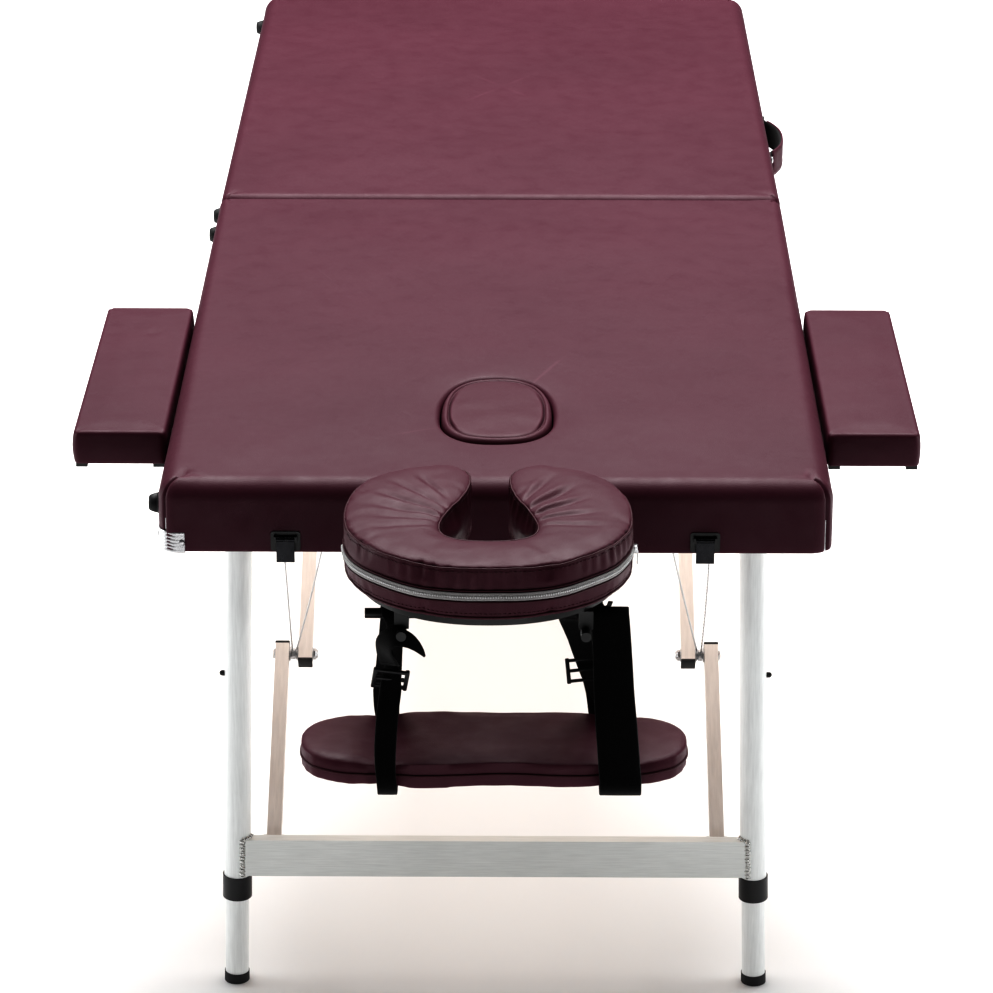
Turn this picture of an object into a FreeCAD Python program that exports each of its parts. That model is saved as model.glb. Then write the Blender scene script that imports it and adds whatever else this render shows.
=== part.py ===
import FreeCAD, Part
import os, math

# Portable two-section massage table on folding aluminium legs, with a face cradle, a hanging
# arm sling, two side armrests and a removable face-hole plug.
# Millimetres, +Z up, X across the table, Y along it (head end at -Y). The table is first laid
# out with the head end's front face at Y = 0 and then shifted by y_shift, so that the origin is
# on the floor under the middle of the whole object.

V = FreeCAD.Vector
doc = FreeCAD.newDocument("massage_table")
sheet = doc.addObject("Spreadsheet::Sheet", "dims")

DIMS = [
    ("y_shift", -782.45), ("sec_len", 930.0), ("half_w", 340.0), ("top_z", 598.0), ("bot_z", 523.0),
    ("gap_half", 1.0), ("edge_rad", 25.0), ("seam_rad", 12.0), ("corner_rad", 22.0), ("skirt", 4.0),
    ("rail_w", 20.0), ("rail_h", 33.5), ("deck_th", 6.5),
    ("plug_hw", 60.0), ("plug_y0", 112.6), ("plug_y1", 300.0), ("plug_fit", 1.8), ("plug_proud", 2.5),
    ("leg_y", 60.7), ("leg_hz", 540.0), ("leg_xtop", 262.8), ("leg_xbot", 276.7),
    ("tube_od", 28.0), ("tube_wall", 1.3), ("low_od", 24.8), ("low_wall", 1.5), ("tube_bot", 118.0),
    ("collar_od", 31.0), ("collar_len", 26.0), ("foot_len", 7.0), ("foot_od", 26.4), ("low_top", 420.0),
    ("bar_z0", 130.6), ("bar_z1", 172.6), ("bar_th", 13.0), ("bar_wall", 1.5),
    ("lug_th", 3.0), ("brace_w", 15.0), ("brace_wall", 1.5), ("lo_x", 234.5), ("up_x", 209.2),
    ("c_dy", 7.8), ("c_z", 160.0), ("b_y", 700.0), ("b_z", 546.0), ("bolt_dia", 6.0),
    ("button_z", 360.0), ("button_dia", 6.0), ("button_out", 5.5),
    ("hinge_x", 200.0), ("hinge_len", 64.0), ("hinge_drop", 3.5), ("knuckle_dia", 6.8), ("leaf_th", 2.0),
    ("arm_y0", 175.0), ("arm_y1", 565.0), ("arm_x0", 346.0), ("arm_x1", 443.0), ("arm_z0", 547.5), ("arm_z1", 585.0),
    ("arm_rod_dia", 8.0), ("arm_rod_z", 538.3), ("arm_rod_ya", 255.0), ("arm_rod_yb", 485.0),
    ("post_x", 88.0), ("post_dia", 10.0), ("post_z", 541.0), ("plate_z0", 563.0), ("plate_th", 8.0),
    ("tilt_y", -34.0), ("tilt_z", 556.0), ("xrod_y", -192.0),
    ("head_w", 292.0), ("head_front", -287.0), ("head_back", -13.0), ("head_top", 630.0), ("head_dx", -6.0),
    ("pad_hw", 194.0), ("pad_y0", -262.0), ("pad_y1", -122.0), ("pad_z0", 382.0), ("pad_z1", 409.0),
    ("strap_w", 26.0), ("strap_th", 1.6), ("strap_x", 112.0),
    ("latch_x", 211.5), ("handle_y", 1262.0), ("handle_len", 178.0), ("handle_z", 557.0), ("handle_w", 32.0),
    ("cable_dia", 2.0), ("foot_inset", 32.0),
]
for i, (name, value) in enumerate(DIMS):
    sheet.set("A%d" % (i + 1), name)
    sheet.set("B%d" % (i + 1), str(value))
    sheet.setAlias("B%d" % (i + 1), name)
doc.recompute()


def D(name):
    return float(getattr(sheet, name))


NODES = []


def bind(obj, props):
    for key, expr in props.items():
        if isinstance(expr, str):
            obj.setExpression(key, expr)
        else:
            obj.setExpression(key, str(expr) if expr >= 0 else "0 - %s" % abs(expr))
    return obj


def box(name, x, y, z, lx, ly, lz):
    o = doc.addObject("Part::Box", name)
    return bind(o, {"Length": lx, "Width": ly, "Height": lz, "Placement.Base.x": x, "Placement.Base.y": y, "Placement.Base.z": z})


def cyl(name, r, h, x, y, z, axis="Z"):
    o = doc.addObject("Part::Cylinder", name)
    rot = {"Z": FreeCAD.Rotation(), "X": FreeCAD.Rotation(V(0, 1, 0), 90), "-X": FreeCAD.Rotation(V(0, 1, 0), -90), "Y": FreeCAD.Rotation(V(1, 0, 0), -90), "-Y": FreeCAD.Rotation(V(1, 0, 0), 90)}[axis]
    o.Placement = FreeCAD.Placement(V(0, 0, 0), rot)
    return bind(o, {"Radius": r, "Height": h, "Placement.Base.x": x, "Placement.Base.y": y, "Placement.Base.z": z})


def cut(name, base, tool):
    o = doc.addObject("Part::Cut", name)
    o.Base, o.Tool = base, tool
    return o


def fuse(name, items):
    o = doc.addObject("Part::MultiFuse", name)
    o.Shapes = items
    return o


def group(name, items):
    # separate solids that share one node
    o = doc.addObject("Part::Compound", name)
    o.Links = items
    return o


def mirror(name, source, axis="X"):
    o = doc.addObject("Part::Mirroring", name)
    o.Source = source
    if axis == "X":
        o.Normal, o.Base = V(1, 0, 0), V(0, 0, 0)
    else:
        o.Normal, o.Base = V(0, 1, 0), V(0, D("sec_len"), 0)
    return o


def solid(name, shape):
    o = doc.addObject("Part::Feature", name)
    o.Shape = shape
    return o


def node(name, obj):
    # a finished sub-part: its label names its file, and it gets the whole table's shift
    wrap = doc.addObject("Part::Compound", "node_" + name)
    wrap.Links = [obj]
    wrap.Label = name
    wrap.setExpression("Placement.Base.y", "dims.y_shift")
    NODES.append(wrap)
    return wrap


def plane_of(body, role):
    return [f for f in body.Origin.OriginFeatures if f.Role == role][0]


def rect_sketch(body, name, x0, y0, x1, y1, offset=None, role="XY_Plane"):
    """Rectangle bound to the sheet: its four constrained distances are expressions."""
    import Sketcher
    sk = body.newObject("Sketcher::SketchObject", name)
    sk.AttachmentSupport = [(plane_of(body, role), "")]
    sk.MapMode = "FlatFace"
    pts = [V(-1, -1, 0), V(1, -1, 0), V(1, 1, 0), V(-1, 1, 0)]
    for i in range(4):
        sk.addGeometry(Part.LineSegment(pts[i], pts[(i + 1) % 4]), False)
    for i in range(4):
        sk.addConstraint(Sketcher.Constraint("Coincident", i, 2, (i + 1) % 4, 1))
    sk.addConstraint([Sketcher.Constraint("Horizontal", 0), Sketcher.Constraint("Horizontal", 2), Sketcher.Constraint("Vertical", 1), Sketcher.Constraint("Vertical", 3)])
    sk.addConstraint(Sketcher.Constraint("DistanceX", -1, 1, 0, 1, -1.0))
    sk.addConstraint(Sketcher.Constraint("DistanceY", -1, 1, 0, 1, -1.0))
    sk.addConstraint(Sketcher.Constraint("DistanceX", -1, 1, 1, 2, 1.0))
    sk.addConstraint(Sketcher.Constraint("DistanceY", -1, 1, 1, 2, 1.0))
    for i, e in zip((8, 9, 10, 11), (x0, y0, x1, y1)):
        sk.setExpression("Constraints[%d]" % i, e)
    if offset:
        sk.setExpression("AttachmentOffset.Base.z", offset)
    return sk


def edges_where(shape, test):
    return ["Edge%d" % (i + 1) for i, e in enumerate(shape.Edges) if test(e)]


# ---------------------------------------------------------------- the two sections: pad, board, rails
def block(tag, e, y0, y1, z0, height, roll=None):
    """Rectangular block of a section, inset by e, with upright edges rounded: large at the
    outer end, small at the seam. roll, if given, rounds the top rim."""
    body = doc.addObject("PartDesign::Body", tag)
    outer_at_low = y0 == "0"
    sk = rect_sketch(body, tag + "_outline", "0 - dims.half_w + (%s)" % e, "%s + (%s)" % (y0, e), "dims.half_w - (%s)" % e, "%s - (%s)" % (y1, e), z0)
    pad = body.newObject("PartDesign::Pad", tag + "_pad")
    pad.Profile = sk
    pad.setExpression("Length", height)
    doc.recompute()
    bb = pad.Shape.BoundBox
    outer_y, seam_y = (bb.YMin, bb.YMax) if outer_at_low else (bb.YMax, bb.YMin)

    def vertical(k, y):
        q = k.BoundBox
        return q.ZLength > 1 and q.XLength < 1e-3 and q.YLength < 1e-3 and abs(q.YMin - y) < 1e-3

    fa = body.newObject("PartDesign::Fillet", tag + "_corners")
    fa.Base = (pad, edges_where(pad.Shape, lambda k: vertical(k, outer_y)))
    fa.setExpression("Radius", "dims.corner_rad - (%s)" % e)
    doc.recompute()
    fb = body.newObject("PartDesign::Fillet", tag + "_seam_corners")
    fb.Base = (fa, edges_where(fa.Shape, lambda k: vertical(k, seam_y)))
    fb.setExpression("Radius", "dims.seam_rad - (%s)" % e)
    doc.recompute()
    if roll:
        fc = body.newObject("PartDesign::Fillet", tag + "_roll")
        fc.Base = (fb, edges_where(fb.Shape, lambda k: k.BoundBox.ZLength < 1e-3 and abs(k.BoundBox.ZMin - bb.ZMax) < 1e-3))
        fc.Radius = 5.0
        fc.setExpression("Radius", roll)
        doc.recompute()
    return body


HY0, HY1 = "0", "dims.sec_len - dims.gap_half"
FY0, FY1 = "dims.sec_len + dims.gap_half", "2 * dims.sec_len"
PAD_Z = "dims.bot_z + dims.rail_h + dims.deck_th"
head_cover = block("head_pad", "0", HY0, HY1, PAD_Z, "dims.top_z - dims.bot_z - dims.rail_h - dims.deck_th", "dims.seam_rad * 1.5")
foot_cover = block("foot_pad", "0", FY0, FY1, PAD_Z, "dims.top_z - dims.bot_z - dims.rail_h - dims.deck_th", "dims.seam_rad * 1.5")


def egg(grow, z0, z1):
    """Rounded egg outline of the face hole: flatter towards the head end, arched on the far side."""
    hw, y0, y1 = D("plug_hw") + grow, D("plug_y0") - grow, D("plug_y1") + grow
    yc = y0 + 0.46 * (y1 - y0)
    pts = []
    for k in range(28):
        a = 2 * math.pi * k / 28
        c, s = math.cos(a), math.sin(a)
        x = hw * math.copysign(abs(c) ** 0.80, c)
        y = yc + (y1 - yc) * abs(s) ** 0.92 if s >= 0 else yc - (yc - y0) * abs(s) ** 0.72
        pts.append(V(x, y, z0))
    c = Part.BSplineCurve()
    c.interpolate(Points=pts, PeriodicFlag=True)
    return Part.Face(Part.Wire([c.toShape()])).extrude(V(0, 0, z1 - z0))


hole_tool = solid("face_hole_tool", egg(0.0, D("bot_z") - 5, D("top_z") + 20))


def side_hole_tools(prefix, r):
    t = []
    for s in ("", "b"):
        y = "dims.arm_rod_y" + ("a" if s == "" else "b")
        t.append(cyl(prefix + "_l" + s, r, 60, "0 - dims.half_w - 5", y, "dims.arm_rod_z", "X"))
        t.append(cyl(prefix + "_r" + s, r, 60, "dims.half_w - 55", y, "dims.arm_rod_z", "X"))
    for i, sgn in enumerate(("0 - dims.post_x", "dims.post_x")):
        t.append(cyl(prefix + "_p%d" % i, r + " + 1" if isinstance(r, str) else r, 60, sgn, "0 - 5", "dims.post_z", "Y"))
    return t


node("head_cushion", cut("head_pad_egg", head_cover, hole_tool))
node("foot_cushion", foot_cover)


DECK_Z = "dims.bot_z + dims.rail_h"
node("head_deck", cut("head_board_hole", block("head_board", "2", HY0, HY1, DECK_Z, "dims.deck_th"), hole_tool))
node("foot_deck", block("foot_board", "2", FY0, FY1, DECK_Z, "dims.deck_th"))


def rails(tag, y0, y1):
    """Perimeter frame of rectangular rail, open in the middle where the legs fold away."""
    body = block(tag + "_rails", "1", y0, y1, "dims.bot_z", "dims.rail_h")
    before = body.Shape.Volume
    e = "1 + dims.rail_w + dims.skirt"
    sk2 = rect_sketch(body, tag + "_rail_inner", "0 - dims.half_w + (%s)" % e, "%s + (%s)" % (y0, e), "dims.half_w - (%s)" % e, "%s - (%s)" % (y1, e), "dims.bot_z")
    pk = body.newObject("PartDesign::Pocket", tag + "_rail_opening")
    pk.Profile = sk2
    pk.Type = "ThroughAll"
    pk.Reversed = True
    doc.recompute()
    if not pk.Shape.Volume < 0.5 * before:
        pk.Reversed = False
        doc.recompute()
    assert pk.Shape.Volume < 0.5 * before
    return body


bush_tools = fuse("rail_bush_holes", side_hole_tools("rhole", "dims.arm_rod_dia / 2 + 2"))
node("head_frame", cut("head_rails_bored", rails("head", HY0, HY1), bush_tools))
node("foot_frame", rails("foot", FY0, FY1))

# socket bushes: four in the side rails for the armrest rods, two in the end rail for the cradle
bushes = []
for s, x in (("l", "0 - dims.half_w + 2"), ("r", "dims.half_w - 2 - 22")):
    for y in ("a", "b"):
        o = cyl("bush_%s%s" % (s, y), "dims.arm_rod_dia / 2 + 1.9", 22, x, "dims.arm_rod_y" + y, "dims.arm_rod_z", "X")
        i = cyl("bush_%s%s_bore" % (s, y), "dims.arm_rod_dia / 2 + 0.1", 40, x + " - 10", "dims.arm_rod_y" + y, "dims.arm_rod_z", "X")
        bushes.append(cut("bush_cut_%s%s" % (s, y), o, i))
for i, x in enumerate(("0 - dims.post_x", "dims.post_x")):
    o = cyl("pbush_%d" % i, "dims.arm_rod_dia / 2 + 2.9", 22, x, 2, "dims.post_z", "Y")
    b = cyl("pbush_%d_bore" % i, "dims.post_dia / 2 + 0.1", 40, x, "0 - 5", "dims.post_z", "Y")
    bushes.append(cut("pbush_cut_%d" % i, o, b))
node("socket_bushes", group("bushes_all", bushes))

# ---------------------------------------------------------------- removable plug of the face hole
plug = egg(-D("plug_fit"), D("bot_z") + D("rail_h") + 1.0, D("top_z") + D("plug_proud"))
top_edges = [e for e in plug.Edges if abs(e.BoundBox.ZMin - (D("top_z") + D("plug_proud"))) < 1e-3 and e.BoundBox.ZLength < 1e-3]
plug = plug.makeFillet(5.0, top_edges)
node("face_hole_plug", solid("plug_body", plug))

# ---------------------------------------------------------------- seam hinges under the two sections
def hinge_set():
    head, foot, pins = [], [], []
    for i, sgn in enumerate((-1, 1)):
        xc = "%s dims.hinge_x" % ("0 -" if sgn < 0 else "")
        x0 = "%s - dims.hinge_len / 2" % xc
        zl = "dims.bot_z - dims.leaf_th"
        for side, store in (("h", head), ("f", foot)):
            n = "hinge%d_%s" % (i, side)
            if side == "h":
                leaf = box(n + "_leaf", x0, "dims.sec_len - 34", zl, "dims.hinge_len", 30.2, "dims.leaf_th")
                segs = ((0.0, 0.32), (0.68, 1.0))
            else:
                leaf = box(n + "_leaf", x0, "dims.sec_len + 3.8", zl, "dims.hinge_len", 30.2, "dims.leaf_th")
                segs = ((0.335, 0.665),)
            parts = [leaf]
            for k, (a, b) in enumerate(segs):
                kn = cyl(n + "_kn%d" % k, "dims.knuckle_dia / 2", "dims.hinge_len * %g" % (b - a), x0 + " + dims.hinge_len * %g" % a, "dims.sec_len", "dims.bot_z - dims.hinge_drop", "X")
                # web that carries the knuckle from the leaf
                w = box(n + "_web%d" % k, x0 + " + dims.hinge_len * %g" % a, "dims.sec_len - 5" if side == "h" else "dims.sec_len + 3", "dims.bot_z - dims.hinge_drop", "dims.hinge_len * %g" % (b - a), 2, "dims.hinge_drop")
                parts += [kn, w]
            f = fuse(n + "_fused", parts)
            bore = cyl(n + "_bore", "dims.knuckle_dia / 2 - 1.8 + 0.05", "dims.hinge_len + 20", x0 + " - 10", "dims.sec_len", "dims.bot_z - dims.hinge_drop", "X")
            store.append(cut(n + "_cut", f, bore))
        pins.append(cyl("hinge%d_pin" % i, "dims.knuckle_dia / 2 - 1.8", "dims.hinge_len", x0, "dims.sec_len", "dims.bot_z - dims.hinge_drop", "X"))
    return head, foot, pins


hh, hf, hp = hinge_set()
node("head_hinge_leaves", group("hinge_head_all", hh))
node("foot_hinge_leaves", group("hinge_foot_all", hf))
node("seam_hinge_pins", group("hinge_pins_all", hp))

# ---------------------------------------------------------------- folding leg frame
slope = math.atan2(D("leg_xbot") - D("leg_xtop"), D("leg_hz"))
DOWN = V(math.sin(slope), 0, -math.cos(slope))  # down the right-hand leg, which leans outwards
TOP = V(D("leg_xtop"), D("leg_y"), D("leg_hz"))


def on_leg(z):
    t = (D("leg_hz") - z) / math.cos(slope)
    return TOP + DOWN * t


def leg_tube(z_hi, z_lo, od, bore=0.0):
    a = on_leg(z_hi)
    length = (z_hi - z_lo) / math.cos(slope)
    s = Part.makeCylinder(od / 2, length, a, DOWN)
    if bore > 0:
        s = s.cut(Part.makeCylinder(bore / 2, length + 2, a - DOWN, DOWN))
    return s


def flip(shape):
    return shape.mirror(V(0, 0, 0), V(1, 0, 0))


def both(shape):
    return Part.makeCompound([flip(shape), shape])


bore_r = D("bolt_dia") / 2
tube = leg_tube(D("leg_hz") + 8, D("tube_bot"), D("tube_od"), D("tube_od") - 2 * D("tube_wall"))
hinge_hole = Part.makeCylinder(bore_r + 0.06, 60, V(D("leg_xtop") - 30, D("leg_y"), D("leg_hz")), V(1, 0, 0))
out_dir = V(math.cos(slope), 0, math.sin(slope))
btn_c = on_leg(D("button_z"))
btn_hole = Part.makeCylinder(D("button_dia") / 2 + 0.06, 20, btn_c, out_dir)
tube = tube.cut(hinge_hole).cut(btn_hole)
node("head_leg_tubes", solid("leg_tubes", both(tube)))

# cross bar: hollow flat section let into the front of both tubes, two lugs behind it carry the lower braces
bx = on_leg((D("bar_z0") + D("bar_z1")) / 2).x
bar_y0 = D("leg_y") - D("tube_od") / 2
hx = bx - 4.0
bar = Part.makeBox(2 * hx, D("bar_th"), D("bar_z1") - D("bar_z0"), V(-hx, bar_y0, D("bar_z0")))
w = D("bar_wall")
bar = bar.cut(Part.makeBox(2 * hx + 2, D("bar_th") - 2 * w, D("bar_z1") - D("bar_z0") - 2 * w, V(-hx - 1, bar_y0 + w, D("bar_z0") + w)))
tube_env = leg_tube(D("bar_z1") + 30, D("bar_z0") - 30, D("tube_od"))
bar = bar.cut(tube_env).cut(flip(tube_env))
bar = max(bar.Solids, key=lambda s: s.Volume)
cy, cz = D("leg_y") + D("c_dy"), D("c_z")


def lug(x0):
    """Ear welded to the cross bar's rear face beside a brace: round nose about the pin."""
    y_bar = bar_y0 + D("bar_th")
    e = Part.makeBox(D("lug_th"), cy - y_bar, 16, V(x0, y_bar, cz - 8))
    e = e.fuse(Part.makeCylinder(8, D("lug_th"), V(x0, cy, cz), V(1, 0, 0)))
    return e.removeSplitter()


ears = []
for sx in (D("lo_x") - D("brace_w") / 2 - 0.4 - D("lug_th"), D("lo_x") + D("brace_w") / 2 + 0.4):
    ears.append(lug(sx))
bar_full = bar
for e in ears:
    bar_full = bar_full.fuse(e).fuse(flip(e))
pin_hole = Part.makeCylinder(bore_r + 0.06, 40, V(D("lo_x") - 20, cy, cz), V(1, 0, 0))
bar_full = bar_full.cut(pin_hole).cut(flip(pin_hole))
# keep the wall behind the cylinder noses: the noses must not reach into the hollow bar
xi, xo = D("lo_x") - D("brace_w") / 2, D("lo_x") + D("brace_w") / 2
X = V(1, 0, 0)
pin_c = Part.makeCylinder(bore_r, D("brace_w") + 2 * D("lug_th") + 0.8, V(xi - 0.4 - D("lug_th"), cy, cz), X)
pin_c = pin_c.fuse(Part.makeCylinder(5.0, 2.4, V(xo + 0.4 + D("lug_th"), cy, cz), X)).fuse(Part.makeCylinder(4.6, 2.8, V(xi - 0.4 - D("lug_th") - 2.8, cy, cz), X)).removeSplitter()
node("head_crossbar", solid("crossbar", Part.makeCompound([bar_full.removeSplitter(), pin_c, flip(pin_c)])))

collar = leg_tube(D("tube_bot") + 9.0, D("tube_bot") - D("collar_len") + 9.0, D("collar_od"), D("tube_od") + 0.0)
plugring = leg_tube(D("tube_bot") - 0.0, D("tube_bot") - D("collar_len") + 9.0, D("collar_od"), D("low_od") + 0.2)
collar = collar.fuse(plugring).removeSplitter()
node("head_leg_collars", solid("collars", both(collar)))

# height-adjusting lower tube: a slot clears the spring button over the whole travel
low = leg_tube(D("low_top"), 4.0, D("low_od"), D("low_od") - 2 * D("low_wall"))
slot_len = 330.0
sw = D("button_dia") + 0.8
sa = on_leg(D("low_top") + 20)
ang = -math.degrees(slope)
slot = Part.makeBox(30, sw, slot_len, V(0, -sw / 2, -slot_len))
slot.rotate(V(0, 0, 0), V(0, 1, 0), ang)
slot.translate(V(sa.x, sa.y, sa.z))
low = low.cut(slot)
# rubber foot: a cap over the end of the lower tube, cut flat to the floor
cap = leg_tube(4.0 + D("foot_len"), -3.0, D("foot_od"))
cap = cap.cut(leg_tube(6.0 + D("foot_len"), 4.0, D("low_od")))
cap = cap.common(Part.makeBox(800, 800, 400, V(-400, -300, 0)))
node("head_left_lower_leg", solid("low_leg_l", flip(low)))
node("head_right_lower_leg", solid("low_leg_r", low))
node("head_left_foot", solid("foot_l", flip(cap)))
node("head_right_foot", solid("foot_r", cap))

# spring button: domed head outside the tube, shank through the wall
r_t = D("tube_od") / 2
b0 = btn_c + out_dir * (r_t - 3.0)
btn = Part.makeCylinder(D("button_dia") / 2, 3.0 + D("button_out") - D("button_dia") / 2, b0, out_dir)
btn = btn.fuse(Part.makeSphere(D("button_dia") / 2, btn_c + out_dir * (r_t + D("button_out") - D("button_dia") / 2))).removeSplitter()
node("head_left_leg_button", solid("btn_l", flip(btn)))
node("head_right_leg_button", solid("btn_r", btn))

# ---------------------------------------------------------------- two-link braces
C = V(0, cy, cz)
B = V(0, D("b_y"), D("b_z"))
Cf = V(0, D("leg_y") + (D("leg_hz") - D("c_z")), D("leg_hz") + D("c_dy"))  # where C lies with the legs folded flat
full = (B - C).Length
closed = (B - Cf).Length
lo_len = (full - closed) / 2
up_len = (full + closed) / 2
u = (B - C).normalize()
P = C + u * lo_len
rise = math.degrees(math.atan2(u.z, u.y))


def link(x, a, b, over_a, over_b, round_a, round_b):
    """Square tube from a to b in a plane of constant X, ends round or square about the pins."""
    d = (b - a).normalize()
    n = V(0, -d.z, d.y)
    w2 = D("brace_w") / 2
    ln = (b - a).Length
    s = Part.makeBox(D("brace_w"), ln + over_a + over_b, D("brace_w"), V(-w2, -over_a, -w2))
    inner = Part.makeBox(D("brace_w") - 2 * D("brace_wall"), ln + over_a + over_b + 2, D("brace_w") - 2 * D("brace_wall"), V(-w2 + D("brace_wall"), -over_a - 1, -w2 + D("brace_wall")))
    s = s.cut(inner)
    if round_a:
        keep = Part.makeCylinder(w2, D("brace_w"), V(-w2, 0, 0), V(1, 0, 0)).fuse(Part.makeBox(D("brace_w"), ln + over_b + 5, D("brace_w"), V(-w2, 0, -w2)))
        s = s.common(keep)
    if round_b:
        keep = Part.makeCylinder(w2, D("brace_w"), V(-w2, ln, 0), V(1, 0, 0)).fuse(Part.makeBox(D("brace_w"), ln + over_a + 5, D("brace_w"), V(-w2, -over_a - 5, -w2)))
        s = s.common(keep)
    for y in (0.0, ln):
        s = s.cut(Part.makeCylinder(bore_r + 0.06, 40, V(-20, y, 0), V(1, 0, 0)))
    s.rotate(V(0, 0, 0), V(1, 0, 0), math.degrees(math.atan2(d.z, d.y)))
    s.translate(V(x, a.y, a.z))
    return s


def end_cap(x, p, d, reach):
    """Black plug in a tube's square end: a lip outside and a stub inside the tube."""
    w2 = D("brace_w") / 2
    lip = Part.makeBox(D("brace_w"), 3.0, D("brace_w"), V(-w2, reach, -w2))
    stub = Part.makeBox(D("brace_w") - 2 * D("brace_wall") - 0.4, 4.0, D("brace_w") - 2 * D("brace_wall") - 0.4, V(-w2 + D("brace_wall") + 0.2, reach - 4.0, -w2 + D("brace_wall") + 0.2))
    s = lip.fuse(stub).removeSplitter()
    s.rotate(V(0, 0, 0), V(1, 0, 0), math.degrees(math.atan2(d.z, d.y)))
    s.translate(V(x, p.y, p.z))
    return s


lo_over, up_over = 9.0, 9.0
lower = link(D("lo_x"), C, P, 7.5, lo_over, True, False)
lower_cap = end_cap(D("lo_x"), P, u, lo_over)
upper = link(D("up_x"), B, P, 7.5, up_over, True, False)
upper_cap = end_cap(D("up_x"), P, u * -1, up_over)
# pivot bolt, split where the linkage is opened: head and its washer ride on the lower brace
head_bolt = Part.makeCylinder(5.0, 2.6, V(xo, P.y, P.z), X).fuse(Part.makeCylinder(bore_r, D("brace_w"), V(xi, P.y, P.z), X)).removeSplitter()
node("head_lower_braces", solid("lower_braces", Part.makeCompound([lower, lower_cap, head_bolt, flip(lower), flip(lower_cap), flip(head_bolt)])))

ui, uo = D("up_x") - D("brace_w") / 2, D("up_x") + D("brace_w") / 2
gap = xi - uo  # between the two braces: washers and the cable eyes
stub = Part.makeCylinder(bore_r, uo - ui + gap - 0.4, V(ui, P.y, P.z), X)
for k, (dx, r, t) in enumerate(((0.0, 6.0, 1.5), (2.2, 4.6, 2.4), (5.4, 4.6, 2.4), (gap - 2.0, 6.0, 1.5))):
    stub = stub.fuse(Part.makeCylinder(r, t, V(uo + dx, P.y, P.z), X))
nut = Part.makeCylinder(4.9, 5.0, V(ui - 5.0, P.y, P.z), X).fuse(Part.makeSphere(4.0, V(ui - 5.0, P.y, P.z)))
stub = stub.fuse(nut).removeSplitter()
node("head_upper_braces", solid("upper_braces", Part.makeCompound([upper, upper_cap, flip(upper), flip(upper_cap)])))
node("head_pivot_bolts", solid("pivot_bolts", both(stub)))

# brackets under the board: a fork for each leg tube and one for each upper brace
deck_z = D("bot_z") + D("rail_h")


def fork(xc, p, half, th, r):
    """Two cheeks on a base plate screwed to the board, with the pin between them."""
    h = deck_z - p.z
    base_t = 0.0
    s = None
    for x0 in (xc - half - th, xc + half):
        c = Part.makeBox(th, 2 * r, h, V(x0, p.y - r, p.z)).fuse(Part.makeCylinder(r, th, V(x0, p.y, p.z), X))
        s = c if s is None else s.fuse(c)
    for x0 in (xc - half - th - 10, xc + half + th):
        s = s.fuse(Part.makeBox(10, 2 * r, 2.0, V(x0, p.y - r, deck_z - 2.0)))
    # the two cheeks are separate pressed ears
    s = s.removeSplitter()
    s = s.cut(Part.makeCylinder(bore_r + 0.06, 2 * half + 2 * th + 10, V(xc - half - th - 5, p.y, p.z), X))
    return s


def fork_pin(xc, p, half, th):
    s = Part.makeCylinder(bore_r, 2 * half + 2 * th, V(xc - half - th, p.y, p.z), X)
    s = s.fuse(Part.makeCylinder(4.8, 2.6, V(xc + half + th, p.y, p.z), X)).fuse(Part.makeCylinder(4.8, 2.6, V(xc - half - th - 2.6, p.y, p.z), X))
    return s.removeSplitter()


leg_half = D("tube_od") / 2 + 0.9
leg_fork = fork(D("leg_xtop"), TOP, leg_half, 2.0, 9.0)
brace_fork = fork(D("up_x"), B, D("brace_w") / 2 + 0.5, 2.0, 7.5)
# eyes for the stay cables: one near the leg hinge and one further in, on the board
cab = D("cable_dia")
TA = V(222.0, 88.0, deck_z)
TB = V(164.0, 214.0, deck_z)
eyes = []
for t in (TA, TB):
    e = Part.makeCylinder(5.0, 8.0, t - V(0, 0, 8.0), V(0, 0, 1))
    eyes.append(e)
lp, bp = fork_pin(D("leg_xtop"), TOP, leg_half, 2.0), fork_pin(D("up_x"), B, D("brace_w") / 2 + 0.5, 2.0)
under = [leg_fork, brace_fork, lp, bp] + eyes
node("head_pivot_brackets", solid("pivot_brackets", Part.makeCompound(under + [flip(q) for q in under])))

# stay cables: thin steel ropes from the eyes to the pivot, straight, pulled tight
EYE_A = V(uo + 6.6, P.y, P.z)
EYE_B = V(uo + 3.4, P.y, P.z)


def straight_cable(a, b, back):
    d = (b - a).normalize()
    q = b - d * back
    a = a + d * 0.6
    return Part.makeCylinder(cab / 2, (q - a).Length, a, d)


ca = straight_cable(TA - V(0, 0, 8.0), EYE_A, 7.2)
cb = straight_cable(TB - V(0, 0, 8.0), EYE_B, 7.2)
node("head_stay_cables", solid("stay_cables", Part.makeCompound([ca, cb, flip(ca), flip(cb)])))

# ---------------------------------------------------------------- the same leg set under the foot section
# and mirrored; it stands foot_inset further in on each side, so that the two sets pass and nest
# beside each other while the table is being folded
INSET = D("foot_inset")


def nested(shape):
    """Moves what is left of the middle right, and what is right of it left; a bar across loses its middle."""
    out = []
    for sol in shape.Solids:
        bb = sol.BoundBox
        if bb.XMin > 0:
            out.append(sol.translated(V(-INSET, 0, 0)))
        elif bb.XMax < 0:
            out.append(sol.translated(V(INSET, 0, 0)))
        else:
            right = sol.common(Part.makeBox(1000, 3000, 1500, V(INSET, -500, -100))).translated(V(-INSET, 0, 0))
            left = sol.common(Part.makeBox(1000, 3000, 1500, V(-INSET - 1000, -500, -100))).translated(V(INSET, 0, 0))
            out.append(max(right.fuse(left).removeSplitter().Solids, key=lambda q: q.Volume))
    return Part.makeCompound(out)


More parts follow.
